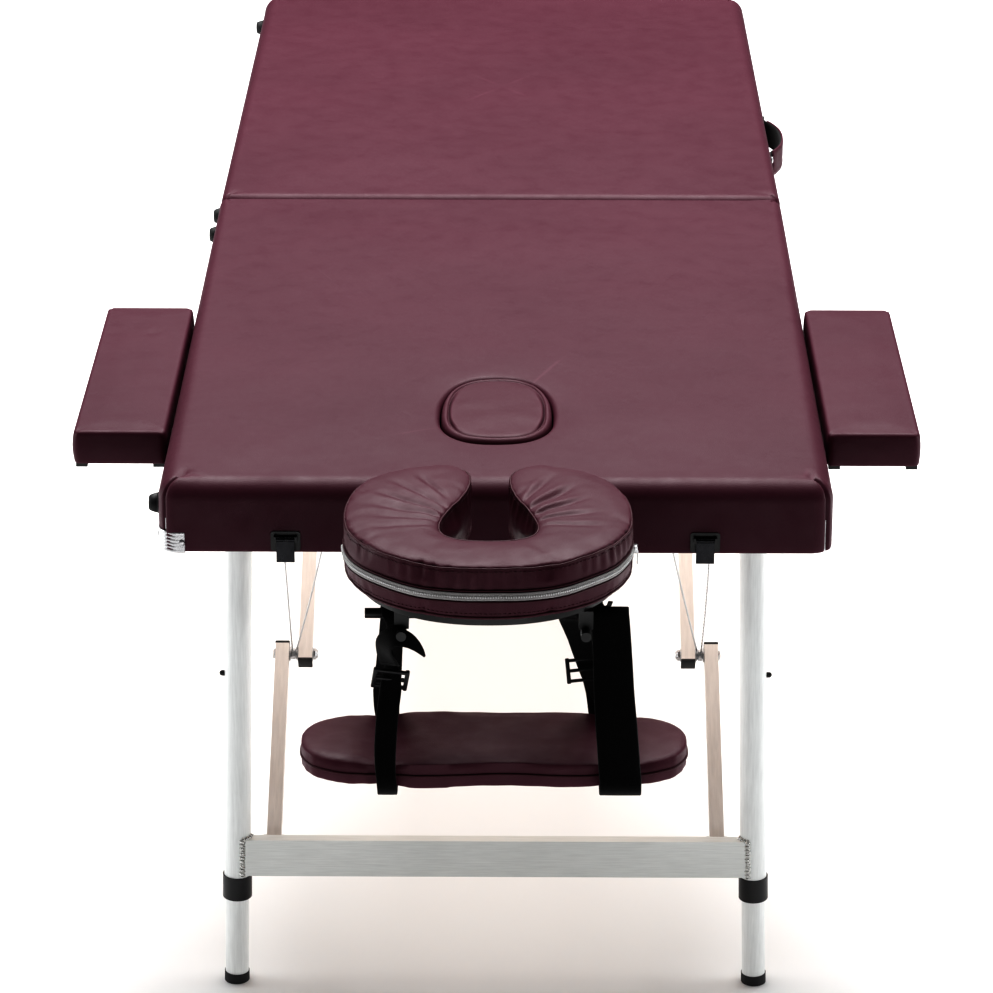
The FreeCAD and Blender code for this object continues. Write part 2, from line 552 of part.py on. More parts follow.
for name in ("leg_tubes", "crossbar", "leg_collars", "left_lower_leg", "right_lower_leg", "left_foot", "right_foot", "left_leg_button", "right_leg_button",
             "lower_braces", "upper_braces", "pivot_bolts", "pivot_brackets", "stay_cables"):
    src = [n for n in NODES if n.Label == "head_" + name][0].Links[0]
    node("foot_" + name, mirror("mirror_" + name, solid("inset_" + name, nested(src.Shape)), "Y"))

# ---------------------------------------------------------------- suitcase hardware
def rounded(x0, y0, z0, lx, ly, lz, r, axis):
    b = Part.makeBox(lx, ly, lz, V(x0, y0, z0))
    es = []
    for e in b.Edges:
        bb = e.BoundBox
        if (axis == "X" and bb.XLength > 0.5 * lx) or (axis == "Y" and bb.YLength > 0.5 * ly) or (axis == "Z" and bb.ZLength > 0.5 * lz):
            es.append(e)
    return b.makeFillet(r, es)


def bumper(yc, zc):
    """Round rubber stud on the side that the folded case stands on."""
    base = Part.makeCone(11.0, 8.0, 12.0, V(-D("half_w"), yc, zc), V(-1, 0, 0))
    return base.makeFillet(2.0, [e for e in base.Edges if abs(e.BoundBox.XMin + D("half_w") + 12) < 1e-3 and e.BoundBox.XLength < 1e-3])


node("head_side_bumpers", solid("bumpers_h", Part.makeCompound([bumper(40.0, 560.0), bumper(D("sec_len") - 36.0, 560.0)])))
node("foot_side_bumpers", solid("bumpers_f", Part.makeCompound([bumper(2 * D("sec_len") - 40.0, 560.0), bumper(D("sec_len") + 36.0, 560.0)])))


def corner_guard():
    """Pressed steel angle round the lower left corner at the outer end of a section."""
    r = D("corner_rad")
    hw = D("half_w")
    t = 1.2
    outer = Part.makeBox(28, 28, 22, V(-hw - t, -t, D("bot_z") - t))
    es = [e for e in outer.Edges if e.BoundBox.ZLength > 10 and e.BoundBox.XMin < -hw and e.BoundBox.YMin < 0]
    outer = outer.makeFillet(r + t, es)
    inner = Part.makeBox(60, 60, 60, V(-hw, 0, D("bot_z")))
    es = [e for e in inner.Edges if e.BoundBox.ZLength > 10 and e.BoundBox.XMin < -hw + 1 and e.BoundBox.YMin < 1 and e.BoundBox.XMax < -hw + 1 and e.BoundBox.YMax < 1]
    inner = inner.makeFillet(r, es)
    return outer.cut(inner)


cg = corner_guard()
node("head_corner_guard", solid("guard_h", cg))
node("foot_corner_guard", mirror("guard_f", [n for n in NODES if n.Label == "head_corner_guard"][0].Links[0], "Y"))

# draw latches on the head end's face: base plate, swinging hasp; keepers on the foot end's face
lz = D("bot_z")


def latch_base(xc):
    s = rounded(xc - 15, -2.0, lz + 2, 30, 2.0, 21, 3.0, "Y")
    for dx in (-11.5, 9.5):
        s = s.fuse(Part.makeBox(2.0, 5.6, 6.0, V(xc + dx, -7.6, lz + 13)))
    s = s.cut(Part.makeCylinder(1.26, 40, V(xc - 20, -5.4, lz + 16), X))
    return s.removeSplitter()


def latch_lever(xc):
    """Hasp on a cross pin: it hangs over the edge of the section and its lip goes under the keeper's bar."""
    s = Part.makeCylinder(1.2, 22.6, V(xc - 11.3, -5.4, lz + 16), X)
    s = s.fuse(Part.makeCylinder(2.6, 18.4, V(xc - 9.2, -5.4, lz + 16), X))
    s = s.fuse(Part.makeBox(18.4, 2.0, 24.6, V(xc - 9.2, -6.8, lz - 8.6)))
    s = s.fuse(Part.makeBox(13.0, 5.2, 1.6, V(xc - 6.5, -6.8, lz - 8.6)))
    return s.removeSplitter()


node("latch_bases", solid("latch_bases_s", Part.makeCompound([latch_base(-D("latch_x")), latch_base(D("latch_x"))])))
node("latch_hasp_left", solid("hasp_l", latch_lever(-D("latch_x"))))
node("latch_hasp_right", solid("hasp_r", latch_lever(D("latch_x"))))


def keeper(xc):
    """Plate on the foot end's face with two tongues that carry the bar just below the edge."""
    y = 2 * D("sec_len")
    s = rounded(xc - 13, y, lz + 4, 26, 2.0, 18, 3.0, "Y")
    for dx in (-13.0, 11.0):
        s = s.fuse(Part.makeBox(2.0, 4.3, 10.0, V(xc + dx, y, lz - 3.6)))
    s = s.fuse(Part.makeCylinder(1.3, 26.0, V(xc - 13.0, y + 3.0, lz - 2.0), X))
    return s.removeSplitter()


node("latch_keepers", solid("keepers", Part.makeCompound([keeper(-D("latch_x")), keeper(D("latch_x"))])))

# carry handle: arched strap between two end plates on the right side of the foot section
hl, hz, hwid, hy, hxx = D("handle_len"), D("handle_z"), D("handle_w"), D("handle_y"), D("half_w")


def arch(r_off, th):
    ch = hl - 40.0
    rise_ = 17.0
    rad = (ch * ch / 4 + rise_ * rise_) / (2 * rise_)
    c_in = Part.Arc(V(hxx + 2.2, hy - ch / 2, hz - hwid / 2), V(hxx + 2.2 + rise_, hy, hz - hwid / 2), V(hxx + 2.2, hy + ch / 2, hz - hwid / 2))
    c_out = Part.Arc(V(hxx + 2.2 + th, hy - ch / 2, hz - hwid / 2), V(hxx + 2.2 + th + rise_, hy, hz - hwid / 2), V(hxx + 2.2 + th, hy + ch / 2, hz - hwid / 2))
    w_ = Part.Wire([c_in.toShape(), Part.LineSegment(V(hxx + 2.2, hy + ch / 2, hz - hwid / 2), V(hxx + 2.2 + th, hy + ch / 2, hz - hwid / 2)).toShape(),
                    Part.Arc(V(hxx + 2.2 + th, hy + ch / 2, hz - hwid / 2), V(hxx + 2.2 + th + rise_, hy, hz - hwid / 2), V(hxx + 2.2 + th, hy - ch / 2, hz - hwid / 2)).toShape(),
                    Part.LineSegment(V(hxx + 2.2 + th, hy - ch / 2, hz - hwid / 2), V(hxx + 2.2, hy - ch / 2, hz - hwid / 2)).toShape()])
    return Part.Face(w_).extrude(V(0, 0, hwid))


strap_h = arch(0, 4.0)
for s_ in (-1, 1):
    strap_h = strap_h.fuse(Part.makeBox(4.0, 20.0, hwid, V(hxx + 2.2, hy + s_ * (hl - 40) / 2 - (20.0 if s_ < 0 else 0.0), hz - hwid / 2)))
node("carry_handle", solid("handle_strap", strap_h.removeSplitter()))
plates = []
for s_ in (-1, 1):
    y0 = hy + s_ * (hl / 2 - 9.0)
    p_ = Part.makeBox(2.0, 22.0, hwid + 4, V(hxx, y0 - 11.0, hz - hwid / 2 - 2))
    plates.append(p_)
node("handle_plates", solid("handle_plates_s", Part.makeCompound(plates)))

# ---------------------------------------------------------------- side armrests
ax0, ax1, ay0, ay1, az0, az1 = (D(k) for k in ("arm_x0", "arm_x1", "arm_y0", "arm_y1", "arm_z0", "arm_z1"))
apad = Part.makeBox(ax1 - ax0, ay1 - ay0, az1 - az0, V(ax0, ay0, az0))
apad = apad.makeFillet(5.0, [e for e in apad.Edges if e.BoundBox.ZLength > 5]).removeSplitter()
apad = apad.makeFillet(4.0, [e for e in apad.Edges if e.BoundBox.ZLength < 1e-3 and abs(e.BoundBox.ZMin - az1) < 1e-3])
bracket = None
for x0 in (ax0 + 2.0, ax1 - 14.0):
    b_ = Part.makeBox(12.0, ay1 - ay0 - 6.0, 4.0, V(x0, ay0 + 3.0, az0 - 4.0))
    bracket = b_ if bracket is None else bracket.fuse(b_)
rod_r, rz = D("arm_rod_dia") / 2, D("arm_rod_z")
for yk in (D("arm_rod_ya"), D("arm_rod_yb")):
    bracket = bracket.fuse(Part.makeCylinder(rod_r, ax1 - 8.0 - 312.0, V(312.0, yk, rz), X))
    bracket = bracket.fuse(Part.makeBox(20.0, 16.0, az0 - 4.0 - rz + 2.0, V(ax0 + 2.0, yk - 8.0, rz - 2.0))).fuse(Part.makeBox(20.0, 16.0, az0 - 4.0 - rz + 2.0, V(ax1 - 22.0, yk - 8.0, rz - 2.0)))
bracket = bracket.removeSplitter()
node("left_armrest_pad", solid("armpad_l", flip(apad)))
node("right_armrest_pad", solid("armpad_r", apad))
node("left_armrest_bracket", solid("armbr_l", flip(bracket)))
node("right_armrest_bracket", solid("armbr_r", bracket))

# ---------------------------------------------------------------- face cradle
pr, pz, px = D("post_dia") / 2, D("post_z"), D("post_x")
Yv = V(0, 1, 0)
posts = None
for s_ in (-1, 1):
    r_ = Part.makeCylinder(pr, 248.0 + 100.0, V(s_ * px, -248.0, pz), Yv)
    posts = r_ if posts is None else posts.fuse(r_)
    posts = posts.fuse(Part.makeBox(14.0, 20.0, D("plate_z0") - 0.3 - (pz + pr - 2.0), V(s_ * px - 7.0, -236.0, pz + pr - 2.0)))  # front rest for the plate
xr = D("xrod_y")
posts = posts.fuse(Part.makeCylinder(pr, 124.5 + 129.0, V(-124.5, xr, pz), X))
for s_ in (-1, 1):
    # tilt ears on each post
    posts = posts.fuse(Part.makeBox(3.0, 14.0, D("tilt_z") - pz, V(s_ * px - (1.5 if s_ > 0 else 1.5), D("tilt_y") - 7.0, pz)))
    posts = posts.fuse(Part.makeCylinder(6.4, 3.0, V(s_ * px - 1.5, D("tilt_y"), D("tilt_z")), X))
for s_ in (-1, 1):
    posts = posts.cut(Part.makeCylinder(2.56, 30.0, V(s_ * px - 15.0, D("tilt_y"), D("tilt_z")), X))
node("cradle_posts", solid("posts", posts.removeSplitter()))

# horseshoe board under the face cushion, with tilt ears and pins
hc_y = (D("head_front") + D("head_back")) / 2
hdx = D("head_dx")


def horseshoe(rx, ry_f, ry_b, hole_rx, hole_ry, hole_yc, throat_w, z0, z1, y_c, lobes=True):
    """Round ring open towards the table: an oval less a keyhole."""
    pts = []
    n = 36
    for k in range(n):
        a = 2 * math.pi * k / n
        c, s = math.cos(a), math.sin(a)
        x = rx * math.copysign(abs(c) ** 0.92, c)
        y = y_c + (ry_b * math.copysign(abs(s) ** 0.95, s) if s >= 0 else -ry_f * abs(s) ** 0.95)
        pts.append(V(x + hdx, y, z0))
    c = Part.BSplineCurve()
    c.interpolate(Points=pts, PeriodicFlag=True)
    ring = Part.Face(Part.Wire([c.toShape()])).extrude(V(0, 0, z1 - z0))
    hole = Part.makeCylinder(1.0, z1 - z0 + 4, V(0, 0, 0))
    m = FreeCAD.Matrix()
    m.scale(hole_rx, hole_ry, 1.0)
    hole = hole.transformGeometry(m)
    hole.translate(V(hdx, hole_yc, z0 - 2))
    ring = ring.cut(hole)
    # throat widens towards the lobes
    tw, top_w = throat_w, throat_w * 2.6
    yb = y_c + ry_b + 8
    w_ = Part.makePolygon([V(hdx - tw, hole_yc, z0 - 2), V(hdx - tw, hole_yc + (yb - hole_yc) * 0.55, z0 - 2), V(hdx - top_w, yb, z0 - 2), V(hdx + top_w, yb, z0 - 2), V(hdx + tw, hole_yc + (yb - hole_yc) * 0.55, z0 - 2), V(hdx + tw, hole_yc, z0 - 2), V(hdx - tw, hole_yc, z0 - 2)])
    ring = ring.cut(Part.Face(w_).extrude(V(0, 0, z1 - z0 + 4)))
    return ring.removeSplitter()


pz0, pth = D("plate_z0"), D("plate_th")
plate = horseshoe(126.0, 120.0, 118.0, 52.0, 56.0, -150.0, 26.0, pz0, pz0 + pth, hc_y)
for s_ in (-1, 1):
    for dx in (-6.0, 3.0):
        plate = plate.fuse(Part.makeBox(3.0, 12.0, pz0 - D("tilt_z"), V(s_ * px + dx, D("tilt_y") - 6.0, D("tilt_z"))))
        plate = plate.fuse(Part.makeCylinder(6.0, 3.0, V(s_ * px + dx, D("tilt_y"), D("tilt_z")), X))
    plate = plate.fuse(Part.makeCylinder(2.5, 16.0, V(s_ * px - 8.0, D("tilt_y"), D("tilt_z")), X))
node("cradle_plate", solid("plate", plate.removeSplitter()))

cushion = horseshoe(D("head_w") / 2, hc_y - D("head_front"), D("head_back") - hc_y, 44.0, 56.0, -150.0, 18.0, pz0 + pth + 0.5, D("head_top"), hc_y)
node("face_cushion", solid("cushion", cushion))

# ---------------------------------------------------------------- hanging arm sling
def stadium(hw, y0, y1, z0, z1):
    r = (y1 - y0) / 2
    yc = (y0 + y1) / 2
    pts = []
    n = 40
    for k in range(n):
        a = 2 * math.pi * k / n
        c, s = math.cos(a), math.sin(a)
        x = hw * math.copysign(abs(c) ** 0.55, c)
        pts.append(V(x, yc + r * math.copysign(abs(s) ** 0.75, s), z0))
    c = Part.BSplineCurve()
    c.interpolate(Points=pts, PeriodicFlag=True)
    s = Part.Face(Part.Wire([c.toShape()])).extrude(V(0, 0, z1 - z0))
    return s


node("sling_pad", solid("spad", stadium(D("pad_hw"), D("pad_y0"), D("pad_y1"), D("pad_z0"), D("pad_z1"))))


def strap_loop(x0, x1, xt0, xt1):
    """Band from the cross rod down both sides of the pad and under it, open in the middle."""
    t = D("strap_th")
    yb, yf = D("pad_y1") + 0.6, D("pad_y0") - 0.6
    zb, zt = D("pad_z0") - 0.6, D("pad_z1")
    yt, ztop = D("xrod_y"), pz + pr + 0.5
    ro = pr + 0.4

    def ring(off, x):
        return [V(x, yf - off, zb - off), V(x, yb + off, zb - off), V(x, yb + off, zt), V(x, yt + ro + off, pz), V(x, yt + ro + off, ztop + off), V(x, yt - ro - off, ztop + off), V(x, yt - ro - off, pz), V(x, yf - off, zt)]

    def prism(off, extra):
        s = Part.Face(Part.makePolygon(ring(off, x0 - extra) + [ring(off, x0 - extra)[0]])).extrude(V(x1 - x0 + 2 * extra, 0, 0))
        return s
    return prism(t, 0.0).cut(prism(0.0, 1.0)).removeSplitter()


sxc, sw2 = D("strap_x"), D("strap_w") / 2
left_strap = strap_loop(-sxc - sw2 + 4, -sxc + sw2 + 4, 0, 0)
right_strap = strap_loop(sxc - sw2, sxc + sw2, 0, 0)
node("sling_strap_left", solid("strap_l", left_strap))
node("sling_strap_right", solid("strap_r", right_strap))


def buckle(xc, yk, zk):
    """Ladder-lock slider held on the strap's front run."""
    s = Part.makeBox(34.0, 3.0, 22.0, V(xc - 17, yk - 3.0, zk))
    s = s.makeFillet(2.0, [e for e in s.Edges if e.BoundBox.YLength > 1])
    for dz in (3.0, 12.0):
        s = s.cut(Part.makeBox(27.0, 6.0, 5.5, V(xc - 13.5, yk - 4.5, zk + dz)))
    return s


def front_run_y(z):
    """Outer face of the straps' front run at a height."""
    y_low, y_high = D("pad_y0") - 0.6 - D("strap_th"), D("xrod_y") - pr - 0.4 - D("strap_th")
    f = (z - D("pad_z1")) / (pz - D("pad_z1"))
    return y_low + (y_high - y_low) * f


bk = []
for xc in (-sxc + 4, sxc):
    zk = 468.0
    lean = math.degrees(math.atan2(front_run_y(pz) - front_run_y(D("pad_z1")), pz - D("pad_z1")))
    b_ = buckle(xc, 0.0, 0.0)
    b_.rotate(V(0, 0, 0), X, -lean)
    b_.translate(V(0, front_run_y(zk) - 0.25, zk))
    bk.append(b_)
node("sling_buckles", solid("buckles", Part.makeCompound(bk)))

# ---------------------------------------------------------------- checks and files
doc.recompute()
bad = []
for o in doc.Objects:
    st = [s for s in o.State if "Invalid" in s or "Error" in s]
    if st:
        bad.append((o.Name, st))
for n in NODES:
    if n.Shape.isNull() or not n.Shape.isValid() or not n.Shape.Solids:
        bad.append((n.Label, "shape"))
if bad:
    raise RuntimeError("failed objects: %s" % bad)
os.makedirs("parts", exist_ok=True)
keep = set(n.Label + ".step" for n in NODES)
for f in os.listdir("parts"):
    if f not in keep:
        os.remove(os.path.join("parts", f))
for n in NODES:
    n.Shape.exportStep("parts/%s.step" % n.Label)
print("nodes", len(NODES))
print("brace lengths", round(lo_len, 2), round(up_len, 2), "rise", round(rise, 3), "P", P.y, P.z, "C", C.y, C.z)
bbs = [n.Shape.BoundBox for n in NODES]
print("box", min(b.XMin for b in bbs), max(b.XMax for b in bbs), min(b.YMin for b in bbs), max(b.YMax for b in bbs), min(b.ZMin for b in bbs), max(b.ZMax for b in bbs))
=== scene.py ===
import math

import bpy
import bmesh
import numpy as np
from mathutils import Matrix, Vector, noise
from mathutils.bvhtree import BVHTree
from mathutils.kdtree import KDTree


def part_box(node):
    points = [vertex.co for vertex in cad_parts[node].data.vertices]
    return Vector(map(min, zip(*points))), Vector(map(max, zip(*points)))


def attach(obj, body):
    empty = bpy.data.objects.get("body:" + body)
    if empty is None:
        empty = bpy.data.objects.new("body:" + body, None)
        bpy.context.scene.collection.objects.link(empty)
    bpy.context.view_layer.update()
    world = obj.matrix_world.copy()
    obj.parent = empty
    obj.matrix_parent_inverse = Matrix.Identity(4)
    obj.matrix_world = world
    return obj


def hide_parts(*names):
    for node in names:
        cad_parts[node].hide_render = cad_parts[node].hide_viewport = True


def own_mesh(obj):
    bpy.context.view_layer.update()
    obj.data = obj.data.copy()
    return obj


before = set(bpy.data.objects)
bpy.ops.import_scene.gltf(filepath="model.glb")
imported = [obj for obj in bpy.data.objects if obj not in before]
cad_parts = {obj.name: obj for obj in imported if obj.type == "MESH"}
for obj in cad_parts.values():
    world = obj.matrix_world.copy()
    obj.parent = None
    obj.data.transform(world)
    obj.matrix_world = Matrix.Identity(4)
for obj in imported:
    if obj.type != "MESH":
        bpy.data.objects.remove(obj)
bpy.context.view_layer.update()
scene = bpy.context.scene

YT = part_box("head_cushion")[0].y          # the head end's front face
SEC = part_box("foot_cushion")[0].y - 0.001 - YT  # length of one section, seam line
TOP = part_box("foot_cushion")[1].z
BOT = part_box("head_frame")[0].z
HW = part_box("head_cushion")[1].x


def T(x, y, z):
    """A point given from the head end's front face, in millimetres."""
    return Vector((x / 1000.0, YT + y / 1000.0, z / 1000.0))


def smooth(a, b, v):
    t = np.clip((v - a) / (b - a), 0.0, 1.0)
    return t * t * (3 - 2 * t)


# ------------------------------------------------------------------ camera
PITCH, YAW, ROLL = 0.3882, -0.00588, 0.00128
cp, sp, cy, sy = math.cos(PITCH), math.sin(PITCH), math.cos(YAW), math.sin(YAW)
fw = Vector((sy * cp, cy * cp, -sp))
rt = Vector((cy, -sy, 0.0))
up = rt.cross(fw)
r2 = math.cos(ROLL) * rt + math.sin(ROLL) * up
u2 = -math.sin(ROLL) * rt + math.cos(ROLL) * up
cam_data = bpy.data.cameras.new("Camera")
cam_data.sensor_width = 36.0
cam_data.sensor_fit = "HORIZONTAL"
cam_data.lens = 146.155
cam_data.clip_end = 100.0
cam = bpy.data.objects.new("Camera", cam_data)
scene.collection.objects.link(cam)
pos = T(23.15, -3744.97, 2115.74)
m = Matrix((
    (r2.x, u2.x, -fw.x, pos.x),
    (r2.y, u2.y, -fw.y, pos.y),
    (r2.z, u2.z, -fw.z, pos.z),
    (0, 0, 0, 1),
))
cam.matrix_world = m
scene.camera = cam


# ------------------------------------------------------------------ mesh helpers
def add_mesh(name, verts, faces, mat=None, shade=True):
    me = bpy.data.meshes.new(name)
    me.from_pydata([tuple(v) for v in verts], [], [tuple(f) for f in faces])
    me.update()
    ob = bpy.data.objects.new(name, me)
    scene.collection.objects.link(ob)
    if shade:
        me.polygons.foreach_set("use_smooth", [True] * len(me.polygons))
    if mat is not None:
        me.materials.append(mat)
    return ob


def recalc(ob):
    bm = bmesh.new()
    bm.from_mesh(ob.data)
    bmesh.ops.recalc_face_normals(bm, faces=bm.faces)
    bm.to_mesh(ob.data)
    bm.free()
    ob.data.update()
    return ob


def loft(name, rings, mat=None, close_start=True, close_end=True, wrap=True, shade=True):
    """Quads between rings of equal length, the two ends filled by a fan."""
    rings = [np.asarray(r, float) for r in rings]
    n = len(rings[0])
    verts = np.concatenate(rings)
    faces = []
    last = n if wrap else n - 1
    for k in range(len(rings) - 1):
        a, b = k * n, (k + 1) * n
        for i in range(last):
            j = (i + 1) % n
            faces.append((a + i, a + j, b + j, b + i))
    verts = list(verts)
    if close_start:
        verts.append(rings[0].mean(0))
        c = len(verts) - 1
        for i in range(last):
            faces.append((c, (i + 1) % n, i))
    if close_end:
        verts.append(rings[-1].mean(0))
        c = len(verts) - 1
        o = (len(rings) - 1) * n
        for i in range(last):
            faces.append((c, o + i, o + (i + 1) % n))
    return recalc(add_mesh(name, verts, faces, mat, shade))


def resample(pts, step):
    """Catmull-Rom through pts, sampled about every step metres."""
    p = [np.array(q, float) for q in pts]
    p = [2 * p[0] - p[1]] + p + [2 * p[-1] - p[-2]]
    out, keys = [], []
    for k in range(1, len(p) - 2):
        a, b, c, d = p[k - 1], p[k], p[k + 1], p[k + 2]
        n = max(2, int(np.linalg.norm(c - b) / step))
        for i in range(n):
            t = i / n
            out.append(0.5 * (2 * b + (c - a) * t + (2 * a - 5 * b + 4 * c - d) * t * t + (3 * b - a - 3 * c + d) * t ** 3))
            keys.append(k - 1 + t)
    out.append(p[-2])
    keys.append(len(p) - 3)
    return np.array(out), np.array(keys)


def tube(name, pts, radius, mat, sides=10, closed=False, shade=True):
    """Round tube along the points. radius may be one number or one for each point."""
    pts = np.asarray(pts, float)
    n = len(pts)
    rad = np.full(n, radius) if np.isscalar(radius) else np.asarray(radius, float)
    if closed:
        tan = np.roll(pts, -1, 0) - np.roll(pts, 1, 0)
    else:
        tan = np.gradient(pts, axis=0)
    tan /= np.maximum(np.linalg.norm(tan, axis=1), 1e-12)[:, None]
    ref = Vector((0, 0, 1)) if abs(tan[0][2]) < 0.9 else Vector((1, 0, 0))
    nrm = Vector(tan[0]).cross(ref).normalized()
    rings = []
    for k in range(n):
        t = Vector(tan[k])
        nrm = (nrm - t * nrm.dot(t)).normalized()
        bi = t.cross(nrm)
        rings.append([Vector(pts[k]) + (nrm * math.cos(a) + bi * math.sin(a)) * rad[k] for a in (2 * math.pi * s / sides for s in range(sides))])
    if closed:
        rings.append(rings[0])
        ob = loft(name, rings, mat, False, False, True, shade)
        bm = bmesh.new()
        bm.from_mesh(ob.data)
        bmesh.ops.remove_doubles(bm, verts=bm.verts, dist=1e-6)
        bm.to_mesh(ob.data)
        bm.free()
        return ob
    return loft(name, rings, mat, True, True, True, shade)


def ribbon(name, pts, across, widths, th, mat, closed=False, cup=0.0):
    """Flat strap along pts. across gives the width direction at each point; its edges are rounded."""
    pts = np.asarray(pts, float)
    n = len(pts)
    across = np.asarray(across, float)
    if across.ndim == 1:
        across = np.tile(across, (n, 1))
    widths = np.full(n, widths) if np.isscalar(widths) else np.asarray(widths, float)
    if closed:
        tan = np.roll(pts, -1, 0) - np.roll(pts, 1, 0)
    else:
        tan = np.gradient(pts, axis=0)
    tan /= np.maximum(np.linalg.norm(tan, axis=1), 1e-12)[:, None]
    prof = []
    m_ = 7
    for i in range(m_):
        prof.append((-0.5 + i / (m_ - 1), 0.5))
    prof.append((0.53, 0.0))
    for i in range(m_):
        prof.append((0.5 - i / (m_ - 1), -0.5))
    prof.append((-0.53, 0.0))
    rings = []
    for k in range(n):
        t = tan[k]
        w = across[k] - t * across[k].dot(t)
        w /= np.linalg.norm(w)
        nn = np.cross(t, w)
        rings.append([pts[k] + w * (a * widths[k]) + nn * (b * th + cup * (0.25 - a * a)) for a, b in prof])
    if closed:
        rings.append(rings[0])
        ob = loft(name, rings, mat, False, False)
        bm = bmesh.new()
        bm.from_mesh(ob.data)
        bmesh.ops.remove_doubles(bm, verts=bm.verts, dist=1e-6)
        bmesh.ops.recalc_face_normals(bm, faces=bm.faces)
        bm.to_mesh(ob.data)
        bm.free()
        return ob
    return loft(name, rings, mat)


def merge(name, obs):
    """Joins objects into the first one and names it."""
    verts, faces, mats, idx, sm = [], [], [], [], []
    off = 0
    for o in obs:
        me = o.data
        mw = o.matrix_world
        verts += [mw @ v.co for v in me.vertices]
        mm = me.materials[0] if me.materials else None
        if mm not in mats:
            mats.append(mm)
        for p in me.polygons:
            faces.append([off + i for i in p.vertices])
            idx.append(mats.index(mm))
            sm.append(p.use_smooth)
        off += len(me.vertices)
    for o in obs:
        me = o.data
        bpy.data.objects.remove(o)
        bpy.data.meshes.remove(me)
    ob = add_mesh(name, verts, faces, None, False)
    for mm in mats:
        ob.data.materials.append(mm)
    ob.data.polygons.foreach_set("material_index", idx)
    ob.data.polygons.foreach_set("use_smooth", sm)
    ob.data.update()
    return ob


def rbox(name, lo, hi, r, mat, seg=3):
    """Box with every edge rounded."""
    bm = bmesh.new()
    bmesh.ops.create_cube(bm, size=1.0)
    lo, hi = Vector(lo), Vector(hi)
    for v in bm.verts:
        v.co = Vector([(lo[i] + hi[i]) / 2 + v.co[i] * (hi[i] - lo[i]) for i in range(3)])
    bmesh.ops.bevel(bm, geom=list(bm.edges), offset=r, segments=seg, profile=0.5, affect="EDGES")
    me = bpy.data.meshes.new(name)
    bm.to_mesh(me)
    bm.free()
    ob = bpy.data.objects.new(name, me)
    scene.collection.objects.link(ob)
    me.polygons.foreach_set("use_smooth", [True] * len(me.polygons))
    me.materials.append(mat)
    return ob


def turn(name, prof, origin, axis, mat, sides=28):
    """Turned piece: prof is (distance along the axis, radius) pairs in metres."""
    ax = Vector(axis).normalized()
    ref = Vector((0, 0, 1)) if abs(ax.z) < 0.9 else Vector((1, 0, 0))
    a = ax.cross(ref).normalized()
    b = ax.cross(a)
    rings = []
    for h, r in prof:
        rings.append([Vector(origin) + ax * h + (a * math.cos(t) + b * math.sin(t)) * max(r, 1e-5) for t in (2 * math.pi * s / sides for s in range(sides))])
    return loft(name, rings, mat)


def stitches(name, pts, mat, long=0.0030, gap=0.0016, r=0.0004):
    """Row of short raised threads along the points."""
    pts = np.asarray(pts, float)
    seg = np.linalg.norm(np.diff(pts, axis=0), axis=1)
    s = np.concatenate([[0], np.cumsum(seg)])
    verts, faces = [], []
    d = gap
    while d + long < s[-1]:
        a = np.array([np.interp(d, s, pts[:, k]) for k in range(3)])
        b = np.array([np.interp(d + long, s, pts[:, k]) for k in range(3)])
        t = b - a
        ln = np.linalg.norm(t)
        d += long + gap
        if ln < 1e-5:
            continue
        t /= ln
        ref = np.array([0, 0, 1.0]) if abs(t[2]) < 0.9 else np.array([1.0, 0, 0])
        u = np.cross(t, ref)
        u /= np.linalg.norm(u)
        v = np.cross(t, u)
        o = len(verts)
        for q, rr in ((0.0, 0.35), (0.25, 1.0), (0.75, 1.0), (1.0, 0.35)):
            c = a + t * ln * q
            for k in range(5):
                g = 2 * math.pi * k / 5
                verts.append(c + (u * math.cos(g) + v * math.sin(g)) * r * rr)
        for k in range(3):
            for i in range(5):
                j = (i + 1) % 5
                faces.append((o + 5 * k + i, o + 5 * k + j, o + 5 * k + 5 + j, o + 5 * k + 5 + i))
        faces.append([o + i for i in range(5)][::-1])
        faces.append([o + 15 + i for i in range(5)])
    return add_mesh(name, verts, faces, mat)


def apply_mods(ob):
    dg = bpy.context.evaluated_depsgraph_get()
    me = bpy.data.meshes.new_from_object(ob.evaluated_get(dg), preserve_all_data_layers=True, depsgraph=dg)
    old = ob.data
    ob.modifiers.clear()
    ob.data = me
    me.name = ob.name
    bpy.data.meshes.remove(old)
    me.polygons.foreach_set("use_smooth", [True] * len(me.polygons))
    return ob


def co_of(ob):
    co = np.zeros(len(ob.data.vertices) * 3, np.float32)
    ob.data.vertices.foreach_get("co", co)
    return co.reshape(-1, 3).astype(float)


def set_co(ob, co):
    ob.data.vertices.foreach_set("co", np.asarray(co, np.float32).ravel())
    ob.data.update()


def normals_of(ob):
    ob.data.update()
    no = np.zeros(len(ob.data.vertices) * 3, np.float32)
    ob.data.vertices.foreach_get("normal", no)
    return no.reshape(-1, 3).astype(float)


def fnoise(co, scale, seed=0.0):
    return np.array([noise.noise(Vector((x * scale + seed, y * scale - seed, z * scale + 0.37 * seed))) for x, y, z in co])


